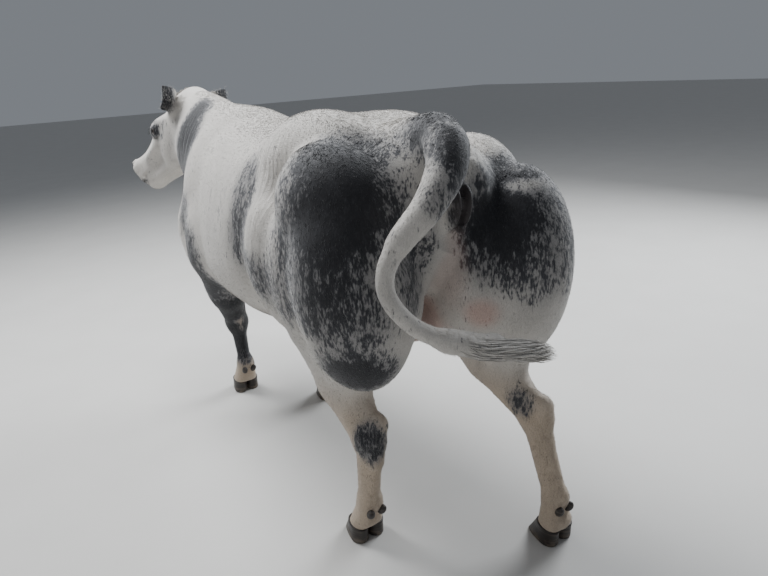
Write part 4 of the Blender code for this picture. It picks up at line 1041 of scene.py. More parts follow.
def on_head(points):
    return smooth(-0.06, 0.02, (points - np.array(neck_place)) @ np.array(neck_along))


def marks(points):
    """Dark, pink and warm shares of the coat, then how far hair points down, folds and bare skin."""
    head = on_head(points)
    local = in_head(points)
    dark = covered(points, DARK_PATCHES) * (1.0 - covered(points, LIGHT_PATCHES))
    dark = np.maximum(dark * (1.0 - head), 0.10 * (1.0 - head) * smooth(0.50, 0.75, points[:, 2]))
    backs = smooth(0.080, 0.135, local[:, 0] + 0.55 * np.maximum(local[:, 2], 0))
    ears_dark = covered(local, (EAR_DARK,)) * backs
    dark = np.maximum(dark, np.maximum(head * covered(local, HEAD_DARK), ears_dark))
    muzzle = covered(local, (MUZZLE,))
    dark = np.maximum(dark, 0.30 * muzzle)
    vulva_share = covered(points, (((0, PIN_BONE_Y + 0.030, 1.085), (0.040, 0.060, 0.085), 1.0),))
    dark = np.maximum(dark, vulva_share)
    pink = np.maximum(covered(points, PINK_PATCHES), 0.5 * muzzle)
    warm = 0.85 * smooth(0.62, 0.40, points[:, 2]) * (1.0 - head)
    down = np.maximum(smooth(0.45, 0.70, points[:, 1]), smooth(0.66, 0.52, points[:, 2]))
    folds = covered(points, FOLD_PATCHES) * (1.0 - head)
    bare = np.maximum(np.maximum(muzzle, 0.9 * vulva_share), 0.6 * covered(points, PINK_PATCHES[:1]))
    return np.column_stack((dark, pink, warm)), np.column_stack((down, folds, bare))


def paint(mesh, roots):
    """Stores the markings of the skin at the given places on the mesh, point by point."""
    first, second = marks(roots)
    for name, values in (("coat", first), ("lie", second)):
        layer = mesh.attributes.new(name, "FLOAT_VECTOR", "POINT")
        layer.data.foreach_set("vector", values.ravel().astype(np.float32))
    layer = mesh.attributes.new("root", "FLOAT_VECTOR", "POINT")
    layer.data.foreach_set("vector", roots.ravel().astype(np.float32))


class Tree:
    """A short way to lay out shader nodes."""

    def __init__(self, tree):
        self.tree = tree

    def node(self, kind, **inputs):
        made = self.tree.nodes.new(kind)
        for name, value in inputs.items():
            self.feed(made.inputs[name.replace("_", " ")], value)
        return made

    def feed(self, socket, value):
        if isinstance(value, bpy.types.NodeSocket):
            self.tree.links.new(value, socket)
        else:
            socket.default_value = value

    def math(self, operation, *values):
        made = self.tree.nodes.new("ShaderNodeMath")
        made.operation = operation
        for k, value in enumerate(values):
            self.feed(made.inputs[k], value)
        return made.outputs[0]

    def times(self, value, factor):
        return self.math("MULTIPLY", value, factor)

    def add(self, value, other):
        return self.math("ADD", value, other)

    def times_add(self, value, factor, other):
        return self.math("MULTIPLY_ADD", value, factor, other)

    def attribute(self, name):
        made = self.tree.nodes.new("ShaderNodeAttribute")
        made.attribute_name = name
        return made.outputs["Vector"]

    def group(self, tree, **inputs):
        made = self.tree.nodes.new("ShaderNodeGroup")
        made.node_tree = tree
        for name, value in inputs.items():
            self.feed(made.inputs[name], value)
        return made.outputs

    def rise(self, value, start, end):
        """Rises from 0 to 1 as the value goes from start to end."""
        made = self.tree.nodes.new("ShaderNodeMapRange")
        made.interpolation_type = "SMOOTHSTEP"
        for k, given in enumerate((value, start, end, 0.0, 1.0)):
            self.feed(made.inputs[k], given)
        return made.outputs[0]

    def blend(self, share, first, second):
        made = self.tree.nodes.new("ShaderNodeMix")
        made.data_type = "RGBA"
        self.feed(made.inputs[0], share)
        self.feed(made.inputs[6], first)
        self.feed(made.inputs[7], second)
        return made.outputs[2]

    def noise(self, place, scale, detail=2.0, stretch=(1, 1, 1), turn=(0, 0, 0)):
        if stretch != (1, 1, 1) or turn != (0, 0, 0):
            mapped = self.node("ShaderNodeMapping", Vector=place, Scale=stretch, Rotation=turn)
            place = mapped.outputs[0]
        made = self.node("ShaderNodeTexNoise", Vector=place, Scale=scale, Detail=detail)
        return made.outputs["Fac"]


def new_material(name):
    """A material, the layout of its nodes, and its surface."""
    material = bpy.data.materials.new(name)
    material.use_nodes = True
    return material, Tree(material.node_tree), material.node_tree.nodes["Principled BSDF"]


def new_group(name, inputs, outputs):
    group = bpy.data.node_groups.new(name, "ShaderNodeTree")
    for socket, kind in inputs:
        group.interface.new_socket(socket, in_out="INPUT", socket_type=kind)
    for socket, kind in outputs:
        group.interface.new_socket(socket, in_out="OUTPUT", socket_type=kind)
    start = group.nodes.new("NodeGroupInput")
    end = group.nodes.new("NodeGroupOutput")
    return group, Tree(group), start.outputs, end.inputs


WHITE_HAIR = (0.560, 0.530, 0.490, 1.0)
CREAM_HAIR = (0.500, 0.395, 0.290, 1.0)
GREY_HAIR = (0.080, 0.081, 0.090, 1.0)
BLACK_HAIR = (0.016, 0.016, 0.019, 1.0)
ROAN_HAIR = (0.215, 0.210, 0.210, 1.0)
PINK_SKIN = (0.500, 0.235, 0.175, 1.0)
BARE_SKIN = (0.040, 0.032, 0.032, 1.0)

# Roan colour, shared by skin and coat: dark hair gathers in blotches, breaks into flecks and thins to grey.
roan, lay, given, result = new_group(
    "roan",
    (("Root", "NodeSocketVector"), ("Coat", "NodeSocketVector"), ("Bare", "NodeSocketFloat")),
    (("Color", "NodeSocketColor"),),
)
parts = lay.node("ShaderNodeSeparateXYZ", Vector=given["Coat"]).outputs
blotch = lay.noise(given["Root"], 13.0, 3.0, (1.0, 0.85, 0.6), (0.4, 0.0, 0.0))
patch = lay.noise(given["Root"], 58.0, 3.0, (1.0, 1.0, 0.45), (0.3, 0.0, 0.0))
fleck = lay.noise(given["Root"], 190.0, 3.0, (1.0, 1.0, 0.35), (0.25, 0.0, 0.0))
hair = lay.noise(given["Root"], 650.0, 2.0, (1.0, 1.0, 0.3))
grain = lay.times_add(blotch, 0.22, lay.times_add(patch, 0.36, lay.times(fleck, 0.42)))
limit = lay.times_add(parts[0], -0.235, 0.655)
limit = lay.times_add(lay.rise(parts[0], 0.84, 1.0), -0.14, limit)
cover = lay.rise(grain, lay.math("SUBTRACT", limit, 0.07), lay.add(limit, 0.05))
depth = lay.rise(lay.times_add(grain, 1.3, parts[0]), 1.05, 1.70)
dark_hair = lay.blend(depth, GREY_HAIR, BLACK_HAIR)
pale = lay.blend(parts[2], WHITE_HAIR, CREAM_HAIR)
pale = lay.blend(lay.rise(parts[0], 0.05, 0.95), pale, ROAN_HAIR)
coat_colour = lay.blend(cover, pale, dark_hair)
coat_colour = lay.blend(lay.times(parts[1], 0.8), coat_colour, PINK_SKIN)
bare_colour = lay.blend(lay.rise(parts[0], 0.3, 0.9), coat_colour, BARE_SKIN)
coat_colour = lay.blend(given["Bare"], coat_colour, bare_colour)
shade = lay.times_add(hair, 0.7, lay.times_add(blotch, 0.35, 0.42))
bright = lay.node("ShaderNodeVectorMath")
bright.operation = "SCALE"
lay.feed(bright.inputs[0], coat_colour)
lay.feed(bright.inputs[3], shade)
lay.feed(result["Color"], bright.outputs[0])

# Short flat hair as relief: fine streaks that run back along the barrel and down the legs, with skin folds
# across them and pebbles on bare skin.
relief, lay, given, result = new_group(
    "short_hair",
    (("Root", "NodeSocketVector"), ("Lie", "NodeSocketVector")),
    (("Height", "NodeSocketFloat"),),
)
parts = lay.node("ShaderNodeSeparateXYZ", Vector=given["Lie"]).outputs
back = lay.noise(given["Root"], 430.0, 2.0, (1.0, 0.12, 1.0), (0.35, 0.0, 0.0))
down = lay.noise(given["Root"], 430.0, 2.0, (1.0, 1.0, 0.12))
streak = lay.add(lay.times(down, parts[0]), lay.times(back, lay.math("SUBTRACT", 1.0, parts[0])))
tuft = lay.noise(given["Root"], 120.0, 2.0, (1.0, 0.4, 0.6))
fold = lay.noise(given["Root"], 15.0, 2.0, (0.5, 5.0, 0.55), (0.25, 0.0, 0.0))
pebble = lay.noise(given["Root"], 420.0, 2.0)
wide = lay.times(lay.times(fold, parts[1]), 3.2)
fine = lay.times_add(streak, 0.55, lay.times(tuft, 0.5))
fine = lay.times(fine, lay.times_add(parts[2], -0.8, 1.0))
fine = lay.add(fine, lay.times(pebble, parts[2]))
lay.feed(result["Height"], lay.add(fine, wide))


def coat_material(name, distance, roughness):
    """Hide or hair with the shared markings; distance is how far its relief stands, in metres."""
    material, lay, surface = new_material(name)
    root, coat, lie = (lay.attribute(word) for word in ("root", "coat", "lie"))
    bare = lay.node("ShaderNodeSeparateXYZ", Vector=lie).outputs[2]
    lay.feed(surface.inputs["Base Color"], lay.group(roan, Root=root, Coat=coat, Bare=bare)["Color"])
    lay.feed(surface.inputs["Roughness"], lay.times_add(bare, -0.30, roughness))
    surface.inputs["Sheen Weight"].default_value = 0.25
    surface.inputs["Sheen Roughness"].default_value = 0.4
    surface.inputs["Specular IOR Level"].default_value = 0.35
    if distance > 0:
        height = lay.group(relief, Root=root, Lie=lie)["Height"]
        bump = lay.node("ShaderNodeBump", Height=height, Distance=distance, Strength=1.0)
        lay.feed(surface.inputs["Normal"], bump.outputs["Normal"])
    return material


paint(skin.data, positions(skin.data))
hide = coat_material("hide", 0.0022, 0.72)
skin.data.materials.clear()
skin.data.materials.append(hide)
skin.data.transform(Matrix.Translation(home))
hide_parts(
    *[n for n in frame["nodes"] if not n.startswith("eye") and "hoof" not in n and "dewclaw" not in n],
)
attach(skin, "root")

# The eyes: dark balls set deep between the lids, with a bulging cornea, a brown iris and a level pupil, all
# under one wet film.
EYE_DARK = (0.010, 0.007, 0.006, 1.0)
EYE_BROWN = (0.030, 0.015, 0.008, 1.0)
EYE_WHITE = (0.060, 0.040, 0.035, 1.0)
BALL_RADIUS = HEAD_SIZE * EYE_RADIUS
CORNEA_BULGE = 0.07
IRIS_SHARE = 0.78

eye_film, lay, surface = new_material("eye")
gaze = lay.attribute("gaze")
across, along = lay.node("ShaderNodeSeparateXYZ", Vector=gaze).outputs[:2]
across_squared = lay.math("POWER", across, 2.0)
along_squared = lay.math("POWER", along, 2.0)
from_axis = lay.math("POWER", lay.add(across_squared, along_squared), 0.5)
flat = lay.add(across_squared, lay.times(along_squared, 5.0))
pupil = lay.rise(lay.math("POWER", flat, 0.5), 0.50, 0.42)
iris = lay.rise(from_axis, 0.86, 0.72)
threads = lay.noise(gaze, 9.0, 4.0)
brown = lay.blend(lay.times(threads, 0.8), EYE_DARK, EYE_BROWN)
lay.feed(surface.inputs["Base Color"], lay.blend(pupil, lay.blend(iris, EYE_WHITE, brown), EYE_DARK))
surface.inputs["Roughness"].default_value = 0.06
surface.inputs["Coat Weight"].default_value = 1.0
surface.inputs["Coat Roughness"].default_value = 0.03

for side, word in ((1, "left"), (-1, "right")):
    centre = skull_place @ Vector((side * EYE_PLACE[0], *EYE_PLACE[1:]))
    outward = skull_place.to_3x3() @ Vector((side * 1.0, -0.28, 0.05))
    turn = outward.to_track_quat("Z", "Y").to_matrix().to_4x4()
    bpy.ops.object.select_all(action="DESELECT")
    bpy.ops.mesh.primitive_uv_sphere_add(segments=48, ring_count=32, radius=BALL_RADIUS)
    eye = bpy.context.active_object
    eye.name = f"eyeball_{word}"
    own = positions(eye.data)
    ahead = own[:, 2] / BALL_RADIUS
    own *= (1.0 + CORNEA_BULGE * smooth(0.62, 0.92, ahead) * smooth(0.62, 0.75, ahead))[:, None]
    eye.data.vertices.foreach_set("co", own.ravel())
    layer = eye.data.attributes.new("gaze", "FLOAT_VECTOR", "POINT")
    layer.data.foreach_set("vector", (own / (IRIS_SHARE * BALL_RADIUS)).ravel().astype(np.float32))
    eye.data.transform(Matrix.Translation(home + centre) @ turn)
    bpy.ops.object.shade_smooth()
    eye.data.materials.append(eye_film)
    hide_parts(f"eye_{word}")
    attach(eye, "root")

# The claws: two to a foot, of dark layered horn, with a soft rim where they grow out of the skin, a toe that
# reaches forward, growth rings and scuffed paler ends; above and behind them two small dewclaws.
TOE_REACH = 0.050
CLAW_WIDTH = 0.054
CORONET_TILT = -14
DEWCLAW_BACK = 0.039
DEWCLAW_RADII = (0.0128, 0.0135, 0.0205)
CLAW_SIDES = 40
HORN_DARK = (0.028, 0.022, 0.019, 1.0)
HORN_PALE = (0.150, 0.120, 0.090, 1.0)

horn, lay, surface = new_material("horn")
place = lay.node("ShaderNodeTexCoord").outputs["Object"]
height = lay.node("ShaderNodeSeparateXYZ", Vector=place).outputs[2]
rings = lay.noise(place, 90.0, 2.0, (0.12, 0.12, 1.6), (0.22, 0.0, 0.0))
threads = lay.noise(place, 600.0, 2.0, (1.0, 1.0, 0.05))
scuff = lay.noise(place, 55.0, 4.0)
worn = lay.times(lay.rise(height, 0.035, 0.0), lay.rise(scuff, 0.42, 0.60))
pale = lay.times_add(lay.rise(rings, 0.50, 0.66), 0.35, lay.times(worn, 0.8))
lay.feed(surface.inputs["Base Color"], lay.blend(pale, HORN_DARK, HORN_PALE))
lay.feed(surface.inputs["Roughness"], lay.times_add(scuff, 0.35, 0.28))
ridges = lay.add(rings, lay.times(threads, 0.25))
bump = lay.node("ShaderNodeBump", Height=ridges, Distance=0.0012, Strength=0.9)
lay.feed(surface.inputs["Normal"], bump.outputs["Normal"])


def horn_claw(name, foot, side):
    """One claw, drawn down ring by ring from the coronet to the sole."""
    x, y = foot
    middle = x + side * TOE_SPREAD
    tilt = math.tan(math.radians(CORONET_TILT))
    work = bmesh.new()
    rings = []
    for share in (0.0, 0.03, 0.08, 0.2, 0.4, 0.6, 0.8, 0.93, 0.985, 1.0):
        ring = []
        for k in range(CLAW_SIDES):
            angle = 2 * math.pi * k / CLAW_SIDES
            front = max(0.0, -math.sin(angle)) ** 1.3
            width = 0.5 * CLAW_WIDTH * (1.0 + 0.02 * share - 0.22 * front * share)
            rim = 0.0014 * math.exp(-((share - 0.05) / 0.05) ** 2) - 0.002 * (share == 0.0)
            edge = 0.0026 * max(0.0, share - 0.93) / 0.07
            px = middle + (width + rim - edge) * math.cos(angle) - side * 0.004 * front * share
            py = y - 0.004 + (0.038 - 0.004 * share + rim - edge) * math.sin(angle)
            py -= TOE_REACH * front * share
            top = CORONET_HEIGHT - 0.004 + tilt * (py - y) * (1.0 - share)
            ring.append(work.verts.new((px, py, max(0.0, top * (1.0 - share)))))
        rings.append(ring)
    for first, second in zip(rings, rings[1:]):
        for k in range(CLAW_SIDES):
            after = (k + 1) % CLAW_SIDES
            work.faces.new((first[k], second[k], second[after], first[after]))
    work.faces.new(rings[0])
    work.faces.new(rings[-1][::-1])
    bmesh.ops.recalc_face_normals(work, faces=work.faces)
    mesh = bpy.data.meshes.new(name)
    work.to_mesh(mesh)
    work.free()
    mesh.transform(Matrix.Translation(home))
    mesh.polygons.foreach_set("use_smooth", [len(p.vertices) == 4 for p in mesh.polygons])
    mesh.materials.append(horn)
    return new_object(name, mesh)


for foot, (x, y) in FEET.items():
    limb, side_word = foot.split("_")
    for side, word in ((1, "a"), (-1, "b")):
        piece = horn_claw(f"{limb}_claw_{side_word}_{word}", (x, y), side)
        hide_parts(f"{limb}_hoof_{side_word}_{word}")
        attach(piece, "root")
        bpy.ops.object.select_all(action="DESELECT")
        bpy.ops.mesh.primitive_ico_sphere_add(subdivisions=4, radius=1.0)
        spur = bpy.context.active_object
        spur.name = f"{limb}_spur_{side_word}_{word}"
        spot = Vector(shifted(fetlock_of(foot), (side * 0.021, DEWCLAW_BACK, -0.024)))
        turn = degrees(-35, side * 10, 0).to_matrix().to_4x4()
        stretch = Matrix.Diagonal((*DEWCLAW_RADII, 1.0))
        spur.data.transform(Matrix.Translation(home + spot) @ turn @ stretch)
        bpy.ops.object.shade_smooth()
        spur.data.materials.append(horn)
        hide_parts(f"{limb}_dewclaw_{side_word}_{word}")
        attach(spur, "root")

# The coat: thousands of short tufts of hair that lie back along the body and down the legs over the skin, a
# little longer on the topline, the belly and behind the legs. Each is a thin bent spike with the marking of
# the skin at its root.
TUFT_SIDES = 3
TUFT_WIDTH = 0.0016
STRAY = 0.22
PATCH_RADIUS = 0.0010
TUFTS_A_PIECE = 18000
COAT_PIECES = 7

tuft_draw = np.random.default_rng(7)


def pick_places(mesh, count, weight):
    """Random places on the mesh's faces, as many on each as its area times its weight asks."""
    triangles = np.empty(3 * len(mesh.loop_triangles), np.int64)
    mesh.loop_triangles.foreach_get("vertices", triangles)
    corners = positions(mesh)[triangles.reshape(-1, 3)]
    across = np.cross(corners[:, 1] - corners[:, 0], corners[:, 2] - corners[:, 0])
    area = length_of(across)
    share = area * weight(corners.mean(axis=1), across / np.maximum(area, SMALL)[:, None])
    chosen = tuft_draw.choice(len(area), count, p=share / share.sum())
    first, second = tuft_draw.random((2, count))
    turned = first + second > 1.0
    first[turned], second[turned] = 1.0 - first[turned], 1.0 - second[turned]
    a, b, c = corners[chosen, 0], corners[chosen, 1], corners[chosen, 2]
    places = a + first[:, None] * (b - a) + second[:, None] * (c - a)
    return places, (across / np.maximum(area, SMALL)[:, None])[chosen]


def lie_of_hair(points, outward):
    """Which way the hair runs: back along the barrel, down the limbs, and over the face to the poll."""
    local = in_head(points)
    down = np.maximum(smooth(0.25, 0.60, points[:, 1]), smooth(0.80, 0.55, points[:, 2]))
    flow = np.column_stack((0 * down, 1.0 - down, -0.35 - down))
    axes = np.array(skull_place.to_3x3()) / HEAD_SIZE
    face = np.column_stack((0.25 * np.sign(points[:, 0] - POLL[0]), 0 * down + 1.0, 0 * down - 0.1)) @ axes.T
    head = on_head(points)[:, None] * (local[:, 1] < 0.02)[:, None]
    flow = flow * (1.0 - head) + face * head
    return along_skin(flow, outward)


def along_skin(flow, outward):
    """The flow laid flat on the skin, with a length of one."""
    flow = flow - dot(flow, outward)[:, None] * outward
    return flow / np.maximum(length_of(flow), SMALL)[:, None]


def hair_length(points, outward):
    """Metres of tuft: short on face and feet, longer on the topline, belly and backs of the legs."""
    head = on_head(points)
    size = np.full(len(points), 0.010)
    size += 0.007 * smooth(0.75, 0.95, outward[:, 2]) * (points[:, 1] > -0.9)
    size += 0.006 * smooth(-0.5, -0.9, outward[:, 2]) * (points[:, 2] > 0.45)
    size += 0.005 * smooth(0.3, 0.8, outward[:, 1]) * smooth(0.62, 0.50, points[:, 2])
    size -= 0.005 * head
    size -= 0.003 * smooth(0.20, 0.10, points[:, 2])
    return size


def grow_tufts(name, roots, outward, flow, length, width, lift):
    """One mesh of bent spikes, one for each root."""
    count = len(roots)
    side = np.cross(flow, outward)
    stations = ((0.0, 0.0, 1.0), (0.45, 0.75, 0.72))
    verts = []
    for along, rise, wide in stations:
        spine = roots + flow * (along * length)[:, None] + outward * (rise * lift * length)[:, None]
        for k in range(TUFT_SIDES):
            angle = 2 * math.pi * k / TUFT_SIDES
            offset = side * math.cos(angle) + outward * (0.5 * math.sin(angle))
            verts.append(spine + offset * (0.5 * wide * width)[:, None])
    verts.append(roots + flow * length[:, None] + outward * (0.55 * lift * length)[:, None])
    points = np.stack(verts, axis=1)
    per = points.shape[1]
    faces = [(2, 1, 0)]
    for k in range(TUFT_SIDES):
        after = (k + 1) % TUFT_SIDES
        a, b, c, d = k, after, TUFT_SIDES + after, TUFT_SIDES + k
        faces += [(a, b, c), (a, c, d), (d, c, per - 1)]
    faces = np.array(faces)
    every = (faces[None] + per * np.arange(count)[:, None, None]).reshape(-1, 3)
    mesh = bpy.data.meshes.new(name)
    mesh.vertices.add(count * per)
    mesh.vertices.foreach_set("co", points.ravel())
    mesh.loops.add(len(every) * 3)
    mesh.loops.foreach_set("vertex_index", every.ravel().astype(np.int32))
    mesh.polygons.add(len(every))
    mesh.polygons.foreach_set("loop_start", np.arange(0, len(every) * 3, 3, dtype=np.int32))
    mesh.update(calc_edges=True)
    mesh.polygons.foreach_set("use_smooth", [True] * len(every))
    paint(mesh, np.repeat(roots, per, axis=0))
    layer = mesh.uv_layers.new(name="OFBake")
    corner = faces.ravel()
    ring = 2 * math.pi * (corner % TUFT_SIDES) / TUFT_SIDES
    reach = np.where(corner < TUFT_SIDES, 1.0, 0.6) * PATCH_RADIUS * (corner < per - 1)
    patch = np.column_stack((reach * np.cos(ring), reach * np.sin(ring)))
    uv = unwrap(roots)[:, None, :] + patch[None]
    layer.data.foreach_set("uv", uv.reshape(-1, 2).ravel().astype(np.float32))
    return new_object(name, mesh)


def unwrap(points):
    """Each place on the skin, rolled out round the part of the body that it lies on."""
    head = on_head(points) > 0.5
    low = (points[:, 2] < 0.60) & ~head
    uv = np.empty((len(points), 2))
    barrel = ~head & ~low
    turn = np.arctan2(points[:, 0], points[:, 2] - 0.90) / (2 * math.pi) + 0.5
    uv[barrel] = np.column_stack((0.02 + 0.96 * turn, 0.02 + 0.50 * (points[:, 1] + 1.1) / 2.2))[barrel]
    local = in_head(points)
    turn = np.arctan2(local[:, 0] * np.sign(points[:, 0] - POLL[0]), local[:, 2] + 0.10) / (2 * math.pi) + 0.5
    uv[head] = np.column_stack((0.02 + 0.46 * turn, 0.56 + 0.40 * (local[:, 1] + 0.55) / 0.75))[head]
    for k, (x, y) in enumerate(FEET.values()):
        mine = low & (length_of(points[:, :2] - (x, y)) < 0.33)
        turn = np.arctan2(points[:, 0] - x, points[:, 1] - y) / (2 * math.pi) + 0.5
        uv[mine] = np.column_stack((0.51 + 0.12 * (k + turn), 0.56 + 0.42 * points[:, 2] / 0.60))[mine]
        low &= ~mine
    uv[low] = (0.5, 0.54)
    return np.clip(uv, 0.003, 0.997)


def where_seen(points, outward):
    """More tufts where they break the form, fewer on the wide flat sides, none on bare places."""
    bare = marks(points)[1][:, 2]
    weight = np.full(len(points), 1.0)
    weight += 2.0 * on_head(points)
    weight += 1.5 * smooth(0.5, 0.9, np.abs(outward[:, 2]))
    weight += 1.5 * smooth(0.60, 0.40, points[:, 2])
    weight *= points[:, 2] > CORONET_HEIGHT + 0.004
    return weight * (1.0 - bare)


def finish_hair(piece):
    """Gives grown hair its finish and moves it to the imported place."""
    piece.data.materials.append(hair_finish)
    piece.data.transform(Matrix.Translation(home))
    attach(piece, "root")


skin.data.transform(Matrix.Translation(-home))
skin.data.calc_loop_triangles()
hair_finish = coat_material("hair", 0.0, 0.62)
for k in range(COAT_PIECES):
    roots, outward = pick_places(skin.data, TUFTS_A_PIECE, where_seen)
    stray = tuft_draw.normal(0.0, STRAY, (len(roots), 3))
    flow = along_skin(lie_of_hair(roots, outward) + stray, outward)
    length = hair_length(roots, outward) * tuft_draw.uniform(0.7, 1.2, len(roots))
    width = TUFT_WIDTH + 0.00004 * length
    lift = tuft_draw.uniform(0.10, 0.26, len(roots))
    coat = grow_tufts(f"coat_{k}", roots - 0.0008 * outward, outward, flow, length, width, lift)
    finish_hair(coat)
skin.data.transform(Matrix.Translation(home))

# The longer hair of the head: a pale tuft over the poll, soft fringes in the ears' cups, and dark lashes set
# along the upper lids.
POLL_TUFTS = 1500
EAR_TUFTS = 2600
HEAD_STRAY = 0.35
LASHES = 44


def head_hair(name, count, weight, length, lift, width, dark_share=1.0):
    """Tufts on part of the head, longer and more upright than the coat, with this share of its dark."""
    skin.data.transform(Matrix.Translation(-home))
    roots, outward = pick_places(skin.data, count, weight)
    skin.data.transform(Matrix.Translation(home))
    stray = tuft_draw.normal(0.0, HEAD_STRAY, (count, 3))
    flow = along_skin(lie_of_hair(roots, outward) + stray, outward)
    long = length * tuft_draw.uniform(0.5, 1.2, count)
    rise = lift * tuft_draw.uniform(0.6, 1.3, count)
    piece = grow_tufts(name, roots - 0.0006 * outward, outward, flow, long, np.full(count, width), rise)
    layer = piece.data.attributes["coat"].data
    shares = np.empty(3 * len(layer), np.float32)
    layer.foreach_get("vector", shares)
    shares[0::3] *= dark_share
    layer.foreach_set("vector", shares)
    finish_hair(piece)


def near_poll(points, outward):
    reach = length_of((in_head(points) - (0.0, -0.012, -0.005)) / (0.062, 0.055, 0.045))
    return smooth(1.2, 0.5, reach) * on_head(points)


def in_ear(points, outward):
    """On the cup of either ear, on the side that it opens to."""
    found = np.zeros(len(points))
    for side in (1, -1):
        place = skull_place @ ear_frame(side)
        back = np.array(place.inverted())
        local = points @ back[:3, :3].T + back[:3, 3]
        opens = np.array((place.to_3x3() @ Vector((0, 0, 1))).normalized())
        inside = (local[:, 1] > 0.030) & (local[:, 1] < 0.140) & (np.abs(local[:, 0]) < 0.055)
        inside &= np.abs(local[:, 2] + 0.01) < 0.06
        found = np.maximum(found, inside * (0.25 + (outward @ opens > 0.2)))
    return found


head_hair("poll_tuft", POLL_TUFTS, near_poll, 0.022, 0.45, 0.0014)
head_hair("ear_fringe", EAR_TUFTS, in_ear, 0.017, 0.50, 0.0010, dark_share=0.2)

lash_roots, lash_out, lash_flow = [], [], []
for side in (1, -1):
    for share in np.linspace(0.06, 0.94, LASHES):
        angle = math.pi * share
        place = np.array(eye_side(-0.0185 * math.cos(angle), 0.0125 * math.sin(angle) + 0.001, 0.0225))
        run = np.array((0.86, -0.30 + 0.35 * -math.cos(angle), -0.28)) * (side, 1, 1)
        lash_roots.append(skull_place @ Vector(place * (side, 1, 1)))
        lash_flow.append((skull_place.to_3x3() @ Vector(run)).normalized())
        lash_out.append((skull_place.to_3x3() @ Vector((0.25 * side, 0.0, 1.0))).normalized())
lash_roots = np.array(lash_roots)
lash_flow = np.array(lash_flow)
lash_out = np.array(lash_out)
lash_out -= dot(lash_out, lash_flow)[:, None] * lash_flow
lash_length = tuft_draw.uniform(0.010, 0.016, len(lash_roots))
lash_width = np.full(len(lash_roots), 0.0009)
lash_lift = np.full(len(lash_roots), 0.35)
lash_piece = grow_tufts("lashes", lash_roots, lash_out, lash_flow, lash_length, lash_width, lash_lift)
finish_hair(lash_piece)

# The brush of the tail: long fine locks, cream white, that grow round the last third and gather to a point.
BRUSH_LOCKS = 900
LOCK_STEPS = 9
LOCK_WIDTH = 0.0048
LOCK_SIDES = 3

brush_draw = np.random.default_rng(11)


def spine_of_tail(share):
    """A point on the tail's line; share runs from 0 at the dock to 1 at the brush's tip."""
    line = np.array(TAIL_PATH[3:] + (mix(TAIL_PATH[-1], SWITCH_TIP, 0.5), SWITCH_TIP))
    steps = length_of(np.diff(line, axis=0))
    reach = np.concatenate(([0.0], np.cumsum(steps))) / steps.sum()
    return np.column_stack([np.interp(share, reach, line[:, k]) for k in range(3)])


def grow_brush():
    starts = brush_draw.uniform(0.60, 0.90, BRUSH_LOCKS)
    lengths = brush_draw.uniform(0.14, 0.36, BRUSH_LOCKS)
    ends = np.minimum(starts + lengths, brush_draw.uniform(0.93, 1.0, BRUSH_LOCKS))
    angles = brush_draw.uniform(0, 2 * math.pi, BRUSH_LOCKS)
    spread = brush_draw.uniform(0.5, 1.0, BRUSH_LOCKS)
    verts, faces = [], []
    for k in range(BRUSH_LOCKS):
        shares = np.linspace(starts[k], ends[k], LOCK_STEPS)
        line = spine_of_tail(shares)
        run = spine_of_tail(np.array([shares[0], shares[0] + 0.04]))
        run = (run[1] - run[0]) / np.linalg.norm(run[1] - run[0])
        side = np.cross(run, (0.0, 0.0, 1.0))
        side /= np.linalg.norm(side)
        out = side * math.cos(angles[k]) + np.cross(side, run) * math.sin(angles[k])
        t = np.linspace(0.0, 1.0, LOCK_STEPS)
        away = 0.016 + spread[k] * 0.022 * np.sin(math.pi * np.clip(t * 0.8, 0, 1)) - 0.014 * t
        wave = (0.003 + 0.008 * t) * np.sin(5.0 * t + 17.0 * spread[k])
        line = line + out * away[:, None] + np.cross(out, run) * wave[:, None]
        line[:, 2] -= 0.010 * t**2
        half = 0.5 * LOCK_WIDTH * (1.0 - t**1.6) + 0.0002
        across = np.cross(out, run)
        for j in range(LOCK_STEPS):
            for c in range(LOCK_SIDES):
                angle = 2 * math.pi * c / LOCK_SIDES
                verts.append(line[j] + half[j] * (across * math.cos(angle) + 0.45 * out * math.sin(angle)))
        start = k * LOCK_STEPS * LOCK_SIDES
        for j in range(LOCK_STEPS - 1):
            for c in range(LOCK_SIDES):
                a = start + LOCK_SIDES * j + c
                b = start + LOCK_SIDES * j + (c + 1) % LOCK_SIDES
                faces.append((a, b, b + LOCK_SIDES, a + LOCK_SIDES))
        faces.append((start, start + 2, start + 1))
        last = start + LOCK_SIDES * (LOCK_STEPS - 1)
        faces.append((last, last + 1, last + 2))
    mesh = bpy.data.meshes.new("tail_brush")
    mesh.from_pydata([tuple(v) for v in verts], [], faces)
    mesh.update()
    work = bmesh.new()
    work.from_mesh(mesh)
    bmesh.ops.recalc_face_normals(work, faces=work.faces)
    work.to_mesh(mesh)
    work.free()
    mesh.polygons.foreach_set("use_smooth", [True] * len(mesh.polygons))
    corner = np.empty(len(mesh.loops), np.int32)
    mesh.loops.foreach_get("vertex_index", corner)
    ring = 2 * math.pi * (corner % LOCK_SIDES) / LOCK_SIDES
    reach = 0.0014 * (1.0 - 0.1 * (corner // LOCK_SIDES % LOCK_STEPS))
    patch = np.column_stack((reach * np.cos(ring), reach * np.sin(ring)))
    spots = 0.02 + 0.96 * np.column_stack((angles / (2 * math.pi), (starts - 0.60) / 0.30))
    uv = spots[corner // (LOCK_SIDES * LOCK_STEPS)] + patch
    mesh.uv_layers.new(name="OFBake").data.foreach_set("uv", uv.ravel().astype(np.float32))
    return new_object("tail_brush", mesh)


brush = grow_brush()
paint(brush.data, positions(brush.data))
finish_hair(brush)

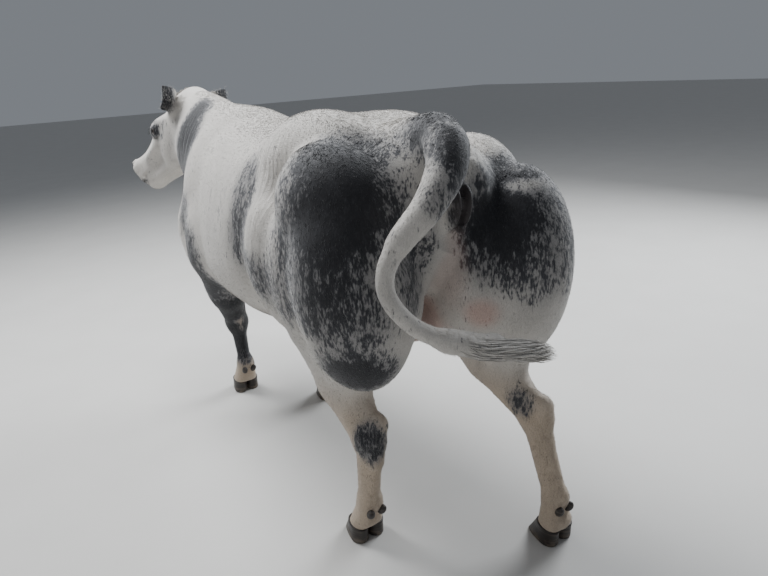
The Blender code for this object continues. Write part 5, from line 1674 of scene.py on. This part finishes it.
# The floor: a plain pale board that the animal stands on, wide enough to fill the view behind it. It is part
# of the stage, not of the animal.
bpy.ops.object.select_all(action="DESELECT")
bpy.ops.mesh.primitive_plane_add(size=60.0)
floor = bpy.context.active_object
floor.name = "floor"
board, lay, surface = new_material("floor")
mottle = lay.noise(lay.node("ShaderNodeTexCoord").outputs["Object"], 3.0, 4.0)
lay.feed(surface.inputs["Base Color"], lay.blend(mottle, (0.52, 0.51, 0.49, 1.0), (0.58, 0.57, 0.55, 1.0)))
surface.inputs["Roughness"].default_value = 0.7
floor.data.materials.append(board)

# Soft light: a dim wide sky, a strong lamp over the head end, one from the far side, and a weak fill from the
# viewer's side.
world = bpy.data.worlds.new("studio")
bpy.context.scene.world = world
world.use_nodes = True
world.node_tree.nodes["Background"].inputs[0].default_value = (0.80, 0.86, 0.95, 1.0)
world.node_tree.nodes["Background"].inputs[1].default_value = 0.25


def soft_lamp(name, place, aim, size, power, colour):
    light = bpy.data.lights.new(name, "AREA")
    light.shape = "DISK"
    light.size = size
    light.energy = power
    light.color = colour
    lamp = bpy.data.objects.new(name, light)
    bpy.context.scene.collection.objects.link(lamp)
    lamp.location = place
    lamp.rotation_euler = (Vector(aim) - Vector(place)).to_track_quat("-Z", "Y").to_euler()


soft_lamp("top", (0.6, -2.2, 4.4), (0.0, 0.2, 1.0), 3.0, 440.0, (0.96, 0.98, 1.0))
soft_lamp("side", (3.6, 1.4, 3.0), (0.0, 0.3, 0.9), 3.0, 18.0, (1.0, 0.98, 0.95))
soft_lamp("far", (-4.2, 0.2, 3.0), (0.0, 0.4, 0.9), 2.6, 260.0, (0.92, 0.96, 1.0))

# The camera stands behind the left hip at about eye height and looks forward along the animal, turned a
# little down and rolled a little to one side.
VIEW_TURN = math.radians(34.5)
VIEW_DOWN = math.radians(19.0)
VIEW_ROLL = math.radians(3.5)
VIEW_FROM = (1.088, 2.004, 1.430)
PICTURE_WIDTH = 768
VIEW_REACH = 639


def from_view(direction):
    """A direction seen by the camera, turned to the animal's coordinates."""
    x, y, z = direction
    c, s = math.cos(VIEW_TURN), math.sin(VIEW_TURN)
    return Vector((-(x * c + y * s), x * s - y * c, z))


ahead = from_view((0.0, math.cos(VIEW_DOWN), -math.sin(VIEW_DOWN)))
up = from_view((0.0, math.sin(VIEW_DOWN), math.cos(VIEW_DOWN)))
right = from_view((1.0, 0.0, 0.0))
rolled_right = right * math.cos(VIEW_ROLL) - up * math.sin(VIEW_ROLL)
rolled_up = right * math.sin(VIEW_ROLL) + up * math.cos(VIEW_ROLL)
lens = bpy.data.cameras.new("camera")
lens.sensor_width = 36.0
lens.lens = VIEW_REACH * lens.sensor_width / PICTURE_WIDTH
camera = bpy.data.objects.new("camera", lens)
bpy.context.scene.collection.objects.link(camera)
camera.matrix_world = (
    Matrix.Translation(Vector(VIEW_FROM) + home)
    @ Matrix((rolled_right, rolled_up, -ahead)).transposed().to_4x4()
)
bpy.context.scene.camera = camera
